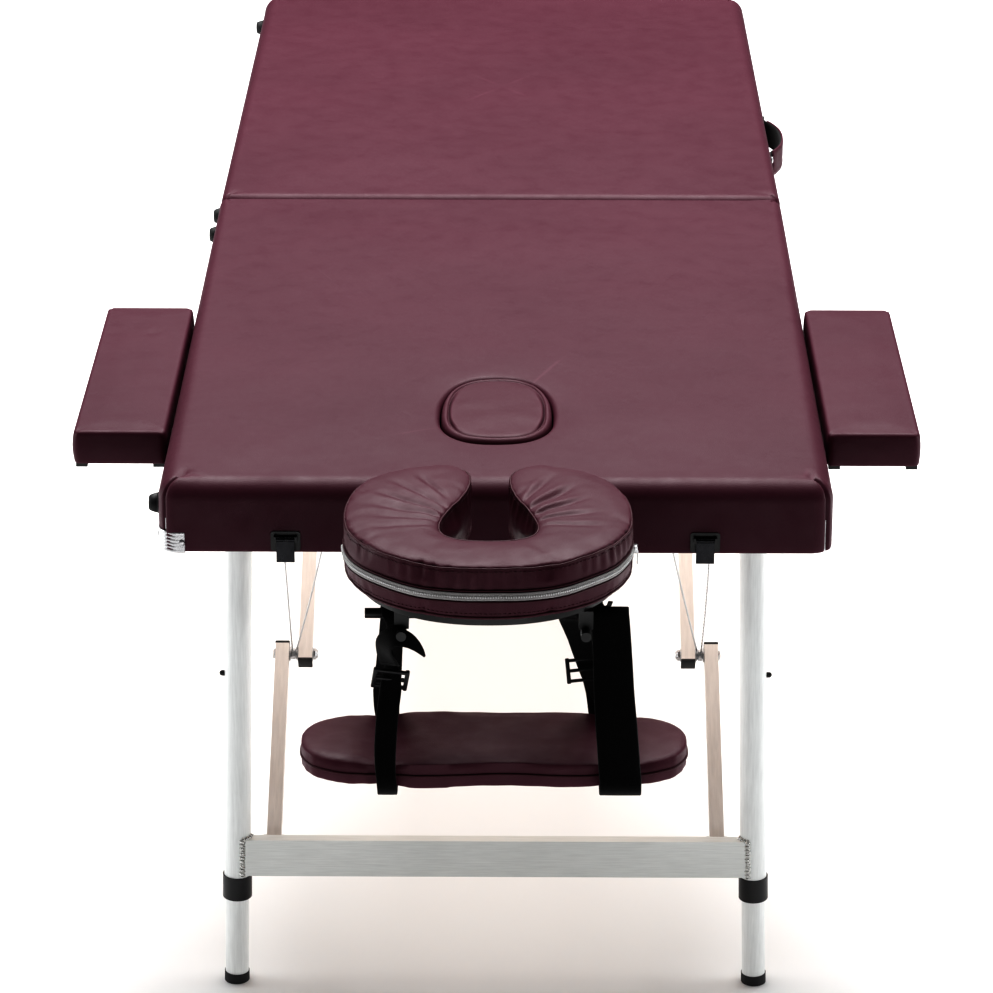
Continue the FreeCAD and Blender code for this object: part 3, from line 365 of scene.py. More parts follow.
def inflate(ob, voxel, pressure, cap, frames=18, levels=1):
    """Stuffed skin: remesh, let cloth swell under pressure, cap each point's travel, subdivide."""
    md = ob.modifiers.new("remesh", "REMESH")
    md.mode = "VOXEL"
    md.voxel_size = voxel
    apply_mods(ob)
    rest = co_of(ob)
    cl = ob.modifiers.new("cloth", "CLOTH")
    cl.settings.quality = 5
    cl.settings.mass = 0.25
    cl.settings.tension_stiffness = 18
    cl.settings.compression_stiffness = 12
    cl.settings.shear_stiffness = 8
    cl.settings.bending_stiffness = 1.2
    cl.settings.use_pressure = True
    cl.settings.uniform_pressure_force = pressure
    cl.settings.effector_weights.gravity = 0
    cl.collision_settings.use_collision = False
    cl.collision_settings.use_self_collision = False
    for f in range(1, frames + 1):
        scene.frame_set(f)
    dg = bpy.context.evaluated_depsgraph_get()
    ev = ob.evaluated_get(dg)
    me = ev.to_mesh()
    co = np.zeros(len(me.vertices) * 3, np.float32)
    me.vertices.foreach_get("co", co)
    co = co.reshape(-1, 3).astype(float)
    ev.to_mesh_clear()
    ob.modifiers.clear()
    d = co - rest
    ln = np.linalg.norm(d, axis=1)
    d *= np.where(ln > cap, cap / np.maximum(ln, 1e-9), 1.0)[:, None]
    set_co(ob, rest + d)
    scene.frame_set(1)
    if levels:
        sb = ob.modifiers.new("sub", "SUBSURF")
        sb.levels = levels
        apply_mods(ob)
    ob.data.polygons.foreach_set("use_smooth", [True] * len(ob.data.polygons))
    return ob


def tidy(o, body):
    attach(o, body)
    return o


# ------------------------------------------------------------------ materials
def new_mat(name):
    mt = bpy.data.materials.new(name)
    mt.use_nodes = True
    nt = mt.node_tree
    bs = next(n for n in nt.nodes if n.type == "BSDF_PRINCIPLED")
    tc = nt.nodes.new("ShaderNodeTexCoord")
    return mt, nt, bs, tc


def nd(nt, kind, **kw):
    n = nt.nodes.new(kind)
    for k, v in kw.items():
        if hasattr(n, k):
            setattr(n, k, v)
        else:
            n.inputs[k].default_value = v
    return n


def lk(nt, a, b):
    nt.links.new(a, b)


def ramp(nt, src, stops):
    r = nt.nodes.new("ShaderNodeValToRGB")
    el = r.color_ramp.elements
    while len(el) < len(stops):
        el.new(0.5)
    for e, (p, c) in zip(el, stops):
        e.position = p
        e.color = (c[0], c[1], c[2], 1.0) if len(c) == 3 else c
    lk(nt, src, r.inputs[0])
    return r


def maprange(nt, src, a, b, c, d):
    r = nt.nodes.new("ShaderNodeMapRange")
    r.inputs["From Min"].default_value = a
    r.inputs["From Max"].default_value = b
    r.inputs["To Min"].default_value = c
    r.inputs["To Max"].default_value = d
    lk(nt, src, r.inputs["Value"])
    return r


def bumps(nt, bs, parts):
    """parts: (height socket, strength, distance in metres), from broad to fine."""
    prev = None
    for sock, st, dist in parts:
        b = nt.nodes.new("ShaderNodeBump")
        b.inputs["Strength"].default_value = st
        b.inputs["Distance"].default_value = dist
        lk(nt, sock, b.inputs["Height"])
        if prev is not None:
            lk(nt, prev.outputs[0], b.inputs["Normal"])
        prev = b
    lk(nt, prev.outputs[0], bs.inputs["Normal"])


def vinyl(name, dark, light, rough=(0.36, 0.5), spec=0.5, grain=0.35):
    """Coated fabric: fine pebbled grain, soft mottling, and a painted sheen (lighter colour) on the high spots and
    rolled edges.
    """
    mt, nt, bs, tc = new_mat(name)
    obj = tc.outputs["Object"]
    vor = nd(nt, "ShaderNodeTexVoronoi", feature="F1", Scale=950.0)
    lk(nt, obj, vor.inputs["Vector"])
    vor2 = nd(nt, "ShaderNodeTexVoronoi", feature="DISTANCE_TO_EDGE", Scale=620.0)
    lk(nt, obj, vor2.inputs["Vector"])
    big = nd(nt, "ShaderNodeTexNoise", Scale=4.0, Detail=3.0, Roughness=0.5)
    lk(nt, obj, big.inputs["Vector"])
    mid = nd(nt, "ShaderNodeTexNoise", Scale=38.0, Detail=4.0, Roughness=0.55)
    lk(nt, obj, mid.inputs["Vector"])
    fine = nd(nt, "ShaderNodeTexNoise", Scale=1500.0, Detail=2.0)
    lk(nt, obj, fine.inputs["Vector"])
    col = ramp(nt, big.outputs["Fac"], [(0.25, dark), (0.75, light)])
    # painted sheen: the colour turns lighter on convex edges and high spots
    geo = nt.nodes.new("ShaderNodeNewGeometry")
    edge_sheen = ramp(nt, geo.outputs["Pointiness"], [(0.5, (0, 0, 0)), (0.62, (1, 1, 1))])
    mix = nt.nodes.new("ShaderNodeMix")
    mix.data_type = "RGBA"
    mix.blend_type = "MIX"
    mix.inputs[7].default_value = (min(1, light[0] * 1.5 + 0.02), min(1, light[1] * 1.7 + 0.015), min(1, light[2] * 1.6 + 0.018), 1)
    edge_sheen_weight = nt.nodes.new("ShaderNodeMath")
    edge_sheen_weight.operation = "MULTIPLY"
    edge_sheen_weight.inputs[1].default_value = 0.35
    lk(nt, edge_sheen.outputs[0], edge_sheen_weight.inputs[0])
    lk(nt, edge_sheen_weight.outputs[0], mix.inputs[0])
    lk(nt, col.outputs[0], mix.inputs[6])
    pore = ramp(nt, vor2.outputs["Distance"], [(0.0, (0.72, 0.72, 0.72)), (0.09, (1, 1, 1))])
    mul = nt.nodes.new("ShaderNodeMix")
    mul.data_type = "RGBA"
    mul.blend_type = "MULTIPLY"
    mul.inputs[0].default_value = 0.5
    lk(nt, mix.outputs[2], mul.inputs[6])
    lk(nt, pore.outputs[0], mul.inputs[7])
    lk(nt, mul.outputs[2], bs.inputs["Base Color"])
    rg = maprange(nt, mid.outputs["Fac"], 0.3, 0.7, rough[0], rough[1])
    lk(nt, rg.outputs[0], bs.inputs["Roughness"])
    bs.inputs["Specular IOR Level"].default_value = spec
    bumps(nt, bs, [(big.outputs["Fac"], 0.25, 0.004), (mid.outputs["Fac"], 0.22, 0.0012), (vor.outputs["Distance"], grain, 0.00028), (vor2.outputs["Distance"], grain, 0.0002), (fine.outputs["Fac"], 0.15, 0.0001)])
    return mt


def metal(name, color, rough=(0.28, 0.42), metallic=1.0, brush=(1, 1, 60), scale=60.0, bump=0.12, color2=None, spec=0.5):
    """Metal with drawn or brushed lines: brush stretches the noise along the grain."""
    mt, nt, bs, tc = new_mat(name)
    mp = nt.nodes.new("ShaderNodeMapping")
    mp.inputs["Scale"].default_value = brush
    lk(nt, tc.outputs["Object"], mp.inputs["Vector"])
    n1 = nd(nt, "ShaderNodeTexNoise", Scale=scale, Detail=5.0, Roughness=0.6)
    lk(nt, mp.outputs[0], n1.inputs["Vector"])
    n2 = nd(nt, "ShaderNodeTexNoise", Scale=14.0, Detail=3.0)
    lk(nt, tc.outputs["Object"], n2.inputs["Vector"])
    c2 = color2 or tuple(c * 0.82 for c in color)
    col = ramp(nt, n2.outputs["Fac"], [(0.3, c2), (0.7, color)])
    fl = ramp(nt, n1.outputs["Fac"], [(0.3, (0.86, 0.86, 0.86)), (0.7, (1, 1, 1))])
    mul = nt.nodes.new("ShaderNodeMix")
    mul.data_type = "RGBA"
    mul.blend_type = "MULTIPLY"
    mul.inputs[0].default_value = 1.0
    lk(nt, col.outputs[0], mul.inputs[6])
    lk(nt, fl.outputs[0], mul.inputs[7])
    lk(nt, mul.outputs[2], bs.inputs["Base Color"])
    bs.inputs["Metallic"].default_value = metallic
    bs.inputs["Specular IOR Level"].default_value = spec
    rg = maprange(nt, n1.outputs["Fac"], 0.3, 0.7, rough[0], rough[1])
    lk(nt, rg.outputs[0], bs.inputs["Roughness"])
    bumps(nt, bs, [(n2.outputs["Fac"], 0.05, 0.001), (n1.outputs["Fac"], bump, 0.0002)])
    return mt


def plastic(name, color, rough=(0.35, 0.55), grainscale=900.0, bump=0.2, spec=0.5):
    mt, nt, bs, tc = new_mat(name)
    n1 = nd(nt, "ShaderNodeTexNoise", Scale=grainscale, Detail=3.0)
    lk(nt, tc.outputs["Object"], n1.inputs["Vector"])
    n2 = nd(nt, "ShaderNodeTexNoise", Scale=26.0, Detail=4.0)
    lk(nt, tc.outputs["Object"], n2.inputs["Vector"])
    col = ramp(nt, n2.outputs["Fac"], [(0.3, tuple(c * 0.8 for c in color)), (0.72, tuple(min(1, c * 1.35 + 0.003) for c in color))])
    # painted highlight: the colour turns lighter on convex edges
    geo = nt.nodes.new("ShaderNodeNewGeometry")
    edge_sheen = ramp(nt, geo.outputs["Pointiness"], [(0.52, (0, 0, 0)), (0.64, (1, 1, 1))])
    mix = nt.nodes.new("ShaderNodeMix")
    mix.data_type = "RGBA"
    mix.inputs[7].default_value = (color[0] * 1.6 + 0.05, color[1] * 1.6 + 0.05, color[2] * 1.6 + 0.05, 1)
    edge_sheen_weight = nt.nodes.new("ShaderNodeMath")
    edge_sheen_weight.operation = "MULTIPLY"
    edge_sheen_weight.inputs[1].default_value = 0.3
    lk(nt, edge_sheen.outputs[0], edge_sheen_weight.inputs[0])
    lk(nt, edge_sheen_weight.outputs[0], mix.inputs[0])
    lk(nt, col.outputs[0], mix.inputs[6])
    lk(nt, mix.outputs[2], bs.inputs["Base Color"])
    rg = maprange(nt, n2.outputs["Fac"], 0.3, 0.7, rough[0], rough[1])
    lk(nt, rg.outputs[0], bs.inputs["Roughness"])
    bs.inputs["Specular IOR Level"].default_value = spec
    bumps(nt, bs, [(n2.outputs["Fac"], 0.08, 0.0008), (n1.outputs["Fac"], bump, 0.00012)])
    return mt


def webbing(name, color, rib=520.0, rough=0.8):
    """Woven tape: ribs across the tape and threads along it."""
    mt, nt, bs, tc = new_mat(name)
    w1 = nd(nt, "ShaderNodeTexWave", wave_type="BANDS", bands_direction="Z", Scale=rib, Distortion=0.6, Detail=1.0)
    w2 = nd(nt, "ShaderNodeTexWave", wave_type="BANDS", bands_direction="X", Scale=rib * 1.3, Distortion=0.8, Detail=1.0)
    n1 = nd(nt, "ShaderNodeTexNoise", Scale=800.0, Detail=3.0)
    n2 = nd(nt, "ShaderNodeTexNoise", Scale=30.0, Detail=3.0)
    for n in (w1, w2, n1, n2):
        lk(nt, tc.outputs["Object"], n.inputs["Vector"])
    mx = nt.nodes.new("ShaderNodeMath")
    mx.operation = "MULTIPLY"
    lk(nt, w1.outputs["Fac"], mx.inputs[0])
    lk(nt, w2.outputs["Fac"], mx.inputs[1])
    col = ramp(nt, mx.outputs[0], [(0.0, tuple(c * 0.5 for c in color)), (0.7, color), (1.0, tuple(c * 1.6 + 0.004 for c in color))])
    col2 = ramp(nt, n2.outputs["Fac"], [(0.3, (0.75, 0.75, 0.75)), (0.7, (1, 1, 1))])
    mul = nt.nodes.new("ShaderNodeMix")
    mul.data_type = "RGBA"
    mul.blend_type = "MULTIPLY"
    mul.inputs[0].default_value = 1.0
    lk(nt, col.outputs[0], mul.inputs[6])
    lk(nt, col2.outputs[0], mul.inputs[7])
    lk(nt, mul.outputs[2], bs.inputs["Base Color"])
    rg = maprange(nt, n1.outputs["Fac"], 0.3, 0.7, rough - 0.1, rough + 0.1)
    lk(nt, rg.outputs[0], bs.inputs["Roughness"])
    bs.inputs["Specular IOR Level"].default_value = 0.25
    bs.inputs["Sheen Weight"].default_value = 0.15
    bumps(nt, bs, [(w1.outputs["Fac"], 0.5, 0.0004), (w2.outputs["Fac"], 0.35, 0.0003), (n1.outputs["Fac"], 0.3, 0.0002)])
    return mt


def board(name, c1, c2):
    mt, nt, bs, tc = new_mat(name)
    mp = nt.nodes.new("ShaderNodeMapping")
    mp.inputs["Scale"].default_value = (1.0, 0.08, 1.0)
    lk(nt, tc.outputs["Object"], mp.inputs["Vector"])
    n1 = nd(nt, "ShaderNodeTexNoise", Scale=60.0, Detail=6.0, Roughness=0.65, Distortion=0.4)
    lk(nt, mp.outputs[0], n1.inputs["Vector"])
    n2 = nd(nt, "ShaderNodeTexNoise", Scale=9.0, Detail=3.0)
    lk(nt, mp.outputs[0], n2.inputs["Vector"])
    mixn = nt.nodes.new("ShaderNodeMath")
    mixn.operation = "ADD"
    lk(nt, n1.outputs["Fac"], mixn.inputs[0])
    lk(nt, n2.outputs["Fac"], mixn.inputs[1])
    col = ramp(nt, mixn.outputs[0], [(0.35, c1), (0.65, c2)])
    hl = nt.nodes.new("ShaderNodeMath")
    hl.operation = "MULTIPLY"
    hl.inputs[1].default_value = 0.5
    lk(nt, mixn.outputs[0], hl.inputs[0])
    lk(nt, hl.outputs[0], col.inputs[0])
    lk(nt, col.outputs[0], bs.inputs["Base Color"])
    rg = maprange(nt, n1.outputs["Fac"], 0.3, 0.7, 0.55, 0.75)
    lk(nt, rg.outputs[0], bs.inputs["Roughness"])
    bumps(nt, bs, [(n1.outputs["Fac"], 0.25, 0.0003)])
    return mt


M_VINYL = vinyl("wine_vinyl", (0.074, 0.0215, 0.0345), (0.086, 0.0262, 0.0410), (0.44, 0.58), 0.26)
M_VINYL_FACE = vinyl("wine_vinyl_soft", (0.076, 0.0225, 0.0350), (0.090, 0.0280, 0.0425), (0.44, 0.58), 0.26)
M_PIPE = vinyl("wine_welt", (0.046, 0.0100, 0.0170), (0.058, 0.0140, 0.0215), (0.42, 0.54), 0.3)
M_THREAD = plastic("wine_thread", (0.060, 0.012, 0.020), (0.5, 0.7), 2500.0, 0.3)
M_TUBE = metal("anodised_tube", (0.90, 0.92, 0.915), (0.34, 0.44), 0.15, (1, 1, 0.06), 500.0, 0.05, (0.87, 0.89, 0.885))
M_BAR = metal("brushed_bar", (0.80, 0.815, 0.80), (0.34, 0.48), 0.25, (0.04, 1, 1), 700.0, 0.10, (0.75, 0.765, 0.75))
# the brace colour is set lighter than its champagne paint to make up for the shade under the table: painted light
M_BRACE = metal("painted_brace", (0.80, 0.74, 0.70), (0.34, 0.46), 0.1, (1, 0.1, 0.1), 300.0, 0.04, (0.76, 0.70, 0.66))
M_STEEL = metal("zinc_steel", (0.62, 0.62, 0.63), (0.22, 0.40), 1.0, (1, 1, 1), 240.0, 0.1)
M_WELD = metal("weld_bead", (0.82, 0.82, 0.80), (0.2, 0.34), 0.9, (1, 1, 1), 300.0, 0.3)
M_RAIL = metal("mill_rail", (0.66, 0.67, 0.68), (0.28, 0.42), 0.9, (1, 0.05, 1), 400.0, 0.08)
M_BLACK = plastic("moulded_black", (0.012, 0.012, 0.013), (0.32, 0.5), 700.0, 0.2)
M_RUBBER = plastic("black_rubber", (0.015, 0.015, 0.016), (0.55, 0.75), 500.0, 0.35)
M_COAT = plastic("black_powder_coat", (0.012, 0.012, 0.012), (0.3, 0.48), 1600.0, 0.45)
M_GLOSS = metal("black_nickel", (0.045, 0.045, 0.048), (0.16, 0.34), 1.0, (1, 1, 1), 120.0, 0.1)
M_WEB = webbing("black_webbing", (0.0060, 0.0055, 0.0060), 520.0, 0.88)
M_ZIP = webbing("white_tape", (0.62, 0.60, 0.60), 700.0, 0.5)
M_TEETH = metal("zip_teeth", (0.80, 0.80, 0.80), (0.25, 0.4), 0.6, (1, 1, 1), 200.0, 0.1)
M_BOARD = board("ply_board", (0.30, 0.17, 0.085), (0.52, 0.35, 0.20))
M_LINER = webbing("black_liner", (0.018, 0.018, 0.019), 300.0, 0.85)
# near-black stand-in for shade (painted shadow); not given to any piece
M_SHADOW = plastic("painted_shadow_black", (0.006, 0.005, 0.006), (0.6, 0.8))


def twisted_cable():
    mt, nt, bs, tc = new_mat("twisted_cable")
    w = nd(nt, "ShaderNodeTexWave", wave_type="BANDS", bands_direction="DIAGONAL", Scale=420.0, Distortion=0.2, Detail=0.0)
    lk(nt, tc.outputs["Object"], w.inputs["Vector"])
    n1 = nd(nt, "ShaderNodeTexNoise", Scale=300.0, Detail=3.0)
    lk(nt, tc.outputs["Object"], n1.inputs["Vector"])
    col = ramp(nt, w.outputs["Fac"], [(0.1, (0.34, 0.34, 0.345)), (0.6, (0.74, 0.74, 0.74))])
    lk(nt, col.outputs[0], bs.inputs["Base Color"])
    bs.inputs["Metallic"].default_value = 0.75
    rg = maprange(nt, n1.outputs["Fac"], 0.3, 0.7, 0.28, 0.42)
    lk(nt, rg.outputs[0], bs.inputs["Roughness"])
    bumps(nt, bs, [(w.outputs["Fac"], 0.7, 0.0004)])
    return mt


M_CABLE = twisted_cable()


# ------------------------------------------------------------------ stay cables
def nurbs_line(pts):
    """Points along the NURBS spline whose control points are given."""
    cu = bpy.data.curves.new("route", "CURVE")
    cu.dimensions = "3D"
    sp_ = cu.splines.new("NURBS")
    sp_.points.add(len(pts) - 1)
    for q, p in zip(sp_.points, pts):
        q.co = (p[0], p[1], p[2], 1.0)
    sp_.order_u = 3
    sp_.use_endpoint_u = True
    cu.resolution_u = 12
    ob = bpy.data.objects.new("route", cu)
    scene.collection.objects.link(ob)
    bpy.context.view_layer.update()
    me = bpy.data.meshes.new_from_object(ob)
    co = [tuple(v.co) for v in me.vertices]
    bpy.data.meshes.remove(me)
    bpy.data.objects.remove(ob)
    bpy.data.curves.remove(cu)
    return co


SEAM_Y = YT + SEC


def mirror_y(v):
    return Vector((v[0], 2 * SEAM_Y - v[1], v[2]))


KNEE = (273.63, 285.38)
EYE_END = {"a": 223.3, "b": 220.1}
EYE_TOP = {"a": (222.0, 88.0, 548.0), "b": (164.0, 214.0, 548.0)}
SAG = {("left", "a"): 0.5, ("left", "b"): 5.5, ("right", "a"): 5.0, ("right", "b"): 3.0}
INSET = 262.8 - (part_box("foot_right_leg_button")[0].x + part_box("foot_right_leg_button")[1].x) * 500.0 + ((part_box("head_right_leg_button")[0].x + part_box("head_right_leg_button")[1].x) * 500.0 - 262.8)
cables = []
for end in ("head", "foot"):
    for side, sx in (("left", -1), ("right", 1)):
        for key in ("a", "b"):
            inset = INSET if end == "foot" else 0.0
            x0, y0, z0 = EYE_TOP[key]
            a = T(sx * (x0 - inset), y0, z0)
            b = T(sx * (EYE_END[key] - inset), KNEE[0], KNEE[1])
            b = b + (a - b).normalized() * 0.0074
            sag = SAG[(side, key)] / 1000.0
            route = []
            for t in (0.0, 0.2, 0.45, 0.7, 0.88, 1.0):
                q = a.lerp(b, t)
                k = 4 * t * (1 - t)
                route.append(q + Vector((sx * 0.35 * sag * k * (1 if key == "a" else -1), 0, -sag * k)))
            if end == "foot":
                route = [mirror_y(q) for q in route]
            line = nurbs_line(route)
            name = "%s_%s_stay_cable_%s" % (end, side, key)
            ob = tube(name, line, 0.001, M_CABLE, 10)
            tidy(ob, end + "_section")
            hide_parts(end + "_stay_cables")
            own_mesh(ob)
            cables.append(ob)


# ------------------------------------------------------------------ upholstered covers
def perimeter(x0, x1, y0, y1, r0, r1, nc=26, step=0.013):
    """(base, direction, radius) round a rectangle whose corners have radius r0 at y0 and r1 at y1: point = base + direction * (radius - inset)."""
    out = []

    def side(a, b, n, ra, rb):
        a, b = np.array(a, float), np.array(b, float)
        n = np.array(n, float)
        k = max(2, int(np.linalg.norm(b - a) / step))
        for i in range(k):
            t = i / k
            r = ra + (rb - ra) * t
            out.append((a + (b - a) * t - n * r, n, r))

    def corner(c, a0, r):
        for i in range(nc):
            a = a0 + math.pi / 2 * i / nc
            out.append((np.array(c, float), np.array([math.cos(a), math.sin(a)]), r))

    side((x0 + r0, y0), (x1 - r0, y0), (0, -1), r0, r0)
    corner((x1 - r0, y0 + r0), -math.pi / 2, r0)
    side((x1, y0 + r0), (x1, y1 - r1), (1, 0), r0, r1)
    corner((x1 - r1, y1 - r1), 0, r1)
    side((x1 - r1, y1), (x0 + r1, y1), (0, 1), r1, r1)
    corner((x0 + r1, y1 - r1), math.pi / 2, r1)
    side((x0, y1 - r1), (x0, y0 + r0), (-1, 0), r1, r0)
    corner((x0 + r0, y0 + r0), math.pi, r0)
    return np.array([b for b, d, r in out]), np.array([d for b, d, r in out]), np.array([r for b, d, r in out])


def egg(n_or_angles, grow=0.0):
    """Outline of the face-hole plug, in metres, about its own middle; wider towards the head end."""
    lo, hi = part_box("face_hole_plug")
    hw_ = (hi.x - lo.x) / 2
    ya, yb = lo.y, hi.y
    yc_ = ya + 0.46 * (yb - ya)
    ang = np.asarray(n_or_angles, float)
    c, s = np.cos(ang), np.sin(ang)
    x = (hw_ + grow) * np.sign(c) * np.abs(c) ** 0.80
    y = np.where(s >= 0, yc_ + (yb + grow - yc_) * np.abs(s) ** 0.92, yc_ - (yc_ - (ya - grow)) * np.abs(s) ** 0.72)
    return np.stack([x + (lo.x + hi.x) / 2, y], 1), yc_


def cover(name, y0, y1, seam_at, hole, mat):
    """Vinyl cover of one section: crowned top, rolled edges, upright sides, wrap turned under the rails."""
    x0, x1 = -HW - 0.0004, HW + 0.0004
    zt, zb = TOP - 0.0006, BOT - 0.0008
    ra, rb = (0.0125, 0.022) if seam_at < (y0 + y1) / 2 else (0.022, 0.0125)
    base, dirs, rc = perimeter(x0, x1, y0, y1, ra, rb)
    n = len(base)
    edge = base + dirs * rc[:, None]
    near = 1.0 - smooth(0.0, 0.09, np.abs(edge[:, 1] - seam_at))
    roll = np.minimum(0.0225 * (1 - near) + 0.0120 * near, rc - 0.0006)

    def at(d):
        d = np.zeros(n) + d
        p = base + dirs * np.maximum(rc - d, 0.0)[:, None]
        k = d > 0
        p[k, 0] = np.clip(p[k, 0], x0 + d[k], x1 - d[k])
        p[k, 1] = np.clip(p[k, 1], y0 + d[k], y1 - d[k])
        return p

    rings = []
    mid = np.array([0.0, (y0 + y1) / 2])
    inner = at(roll + 0.0005)
    if hole:
        _, yc_ = egg([0.0])
        ctr = np.array([0.0, yc_])
        ang = np.arctan2((inner[:, 1] - ctr[1]) / 1.5, inner[:, 0] - ctr[0])
        # spread the samples round the hole evenly by position along the cover's edge
        e0, _ = egg(ang, 0.0012)
        rh = 0.0065
        er = e0 - ctr
        er /= np.linalg.norm(er, axis=1)[:, None]
        rings.append(np.column_stack([e0, np.full(n, BOT + 0.034)]))
        rings.append(np.column_stack([e0, np.full(n, zt - 0.020)]))
        rings.append(np.column_stack([e0, np.full(n, zt - rh)]))
        for a in np.linspace(0.15, 1.0, 6) * math.pi / 2:
            rings.append(np.column_stack([e0 + er * rh * (1 - math.cos(a)), np.full(n, zt - rh + rh * math.sin(a))]))
        start = e0 + er * rh
    else:
        ctr = mid
        er = inner - ctr
        start = ctr + er * 0.004
        rings.append(np.column_stack([start, np.full(n, zt)]))
    ss = np.concatenate([np.linspace(0.03, 0.8, 26), np.linspace(0.82, 1.0, 14)]) if not hole else np.concatenate([np.linspace(0.012, 0.1, 7), np.linspace(0.13, 0.8, 24), np.linspace(0.82, 1.0, 14)])
    for s in ss:
        rings.append(np.column_stack([start + (inner - start) * s, np.full(n, zt)]))
    for a in np.linspace(0.1, 1.0, 9) * math.pi / 2:
        p = at(roll * (1 - math.sin(a)))
        rings.append(np.column_stack([p, zt - roll * (1 - math.cos(a))]))
    for t in np.linspace(0.12, 1.0, 9):
        z = (zt - roll) * (1 - t) + (zb + 0.003) * t
        rings.append(np.column_stack([at(np.zeros(n) - 0.0006 * math.sin(math.pi * t)), z]))
    for a in (0.35, 0.7, 1.0):
        a = a * math.pi / 2
        rings.append(np.column_stack([at(np.full(n, 0.003 * (1 - math.cos(a)))), np.full(n, zb + 0.003 * (1 - math.sin(a)))]))
    for d in (0.008, 0.014, 0.0205):
        rings.append(np.column_stack([at(np.full(n, d)), np.full(n, zb)]))
    ob = loft(name, rings, mat, close_start=not hole, close_end=False)
    co = co_of(ob)
    # crown of the foam, and the slight hollows and swellings of the hand-stapled skin
    dx = np.minimum(co[:, 0] - x0, x1 - co[:, 0])
    dy = np.minimum(co[:, 1] - y0, y1 - co[:, 1])
    top = smooth(zt - 0.012, zt - 0.001, co[:, 2])
    crown = 0.0024 * smooth(0.02, 0.20, np.minimum(dx, dy))
    if hole:
        r = np.hypot(co[:, 0], (co[:, 1] - ctr[1]) / 1.35)
        crown *= smooth(0.055, 0.10, r)
    lump = fnoise(co, 7.0, 3.1 if hole else 9.7) * 0.0009 + fnoise(co, 19.0, 5.5) * 0.0004
    co[:, 2] += top * (crown + lump * smooth(0.0, 0.05, np.minimum(dx, dy)))
    side_m = (1 - smooth(zt - 0.03, zt - 0.012, co[:, 2])) * smooth(zb + 0.001, zb + 0.012, co[:, 2])
    wav = fnoise(co, 16.0, 1.7) * 0.0011
    out = np.zeros((len(co), 2))
    out[:, 0] = np.where(dx < dy, np.sign(co[:, 0]), 0)
    out[:, 1] = np.where(dx < dy, 0, np.sign(co[:, 1] - mid[1]))
    co[:, :2] += out * (side_m * wav)[:, None]
    # folded corners: a pleat down the diagonal of each outer corner, small tucks at the seam corners
    for cx in (-1, 1):
        for cyy in (y0, y1):
            outer = abs(cyy - seam_at) > 0.1
            corner_p = np.array([cx * HW, cyy])
            inw = np.array([-cx, 1.0 if cyy == y0 else -1.0]) / math.sqrt(2)
            crs = np.array([inw[1], -inw[0]])
            rel = co[:, :2] - corner_p
            t = rel @ inw
            q = rel @ crs
            reach = 0.062 if outer else 0.034
            along = (1 - smooth(reach * 0.62, reach, t)) * (t > -0.01)
            depth = 0.0030 if outer else 0.0018
            groove = np.exp(-((q - 0.0006) / 0.0017) ** 2) * depth
            lap = 0.0011 * smooth(0.0, 0.0016, q) * (1 - smooth(0.004, 0.022, q))
            horiz = smooth(zt - 0.016, zt - 0.003, co[:, 2])
            mv = (lap - groove) * along
            co[:, 2] += mv * horiz
            co[:, :2] -= inw * (mv * (1 - horiz) * smooth(zb - 0.0005, zb + 0.002, co[:, 2]))[:, None]
    set_co(ob, co)
    md = ob.modifiers.new("skin", "SOLIDIFY")
    md.thickness = 0.0007
    md.offset = -1.0
    md.use_even_offset = False
    apply_mods(ob)
    return ob


ya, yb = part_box("head_cushion")[0].y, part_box("head_cushion")[1].y
head_cover = cover("head_cover", ya - 0.0003, yb + 0.0002, yb, True, M_VINYL)
tidy(head_cover, "head_section")
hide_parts("head_cushion")
yc0, yc1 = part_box("foot_cushion")[0].y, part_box("foot_cushion")[1].y
foot_cover = cover("foot_cover", yc0 - 0.0002, yc1 + 0.0003, yc0, False, M_VINYL)
tidy(foot_cover, "foot_section")
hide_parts("foot_cushion")


def staples(name, body, y0, y1):
    """Crown staples that hold the wrap under the rails."""
    verts, faces = [], []

    def one(cx, cy_, along_x):
        a, b = (0.0052, 0.00035) if along_x else (0.00035, 0.0052)
        o = len(verts)
        z0, z1 = BOT - 0.0019, BOT - 0.0006
        for x, y in ((-a, -b), (a, -b), (a, b), (-a, b)):
            verts.append((cx + x, cy_ + y, z0))
        for x, y in ((-a, -b), (a, -b), (a, b), (-a, b)):
            verts.append((cx + x, cy_ + y, z1))
        faces.extend([(o + 3, o + 2, o + 1, o), (o + 4, o + 5, o + 6, o + 7)])
        for i in range(4):
            j = (i + 1) % 4
            faces.append((o + i, o + j, o + 4 + j, o + 4 + i))

    k = 0
    y = y0 + 0.05
    while y < y1 - 0.045:
        for sx in (-1, 1):
            one(sx * (HW - 0.0135 - 0.001 * math.sin(7.3 * k)), y, k % 2 == 0)
        y += 0.034 + 0.004 * math.sin(3.1 * k)
        k += 1
    x = -HW + 0.05
    while x < HW - 0.045:
        for yy in (y0 + 0.0135, y1 - 0.0135):
            if not (abs(abs(x) - 0.2) < 0.04 and abs(yy - SEAM_Y) < 0.05):
                one(x, yy + 0.001 * math.sin(5.1 * k), k % 2 == 1)
        x += 0.034 + 0.004 * math.sin(2.3 * k)
        k += 1
    ob = add_mesh(name, verts, faces, M_STEEL, False)
    tidy(ob, body)


staples("head_staples", "head_section", ya, yb)
staples("foot_staples", "foot_section", yc0, yc1)


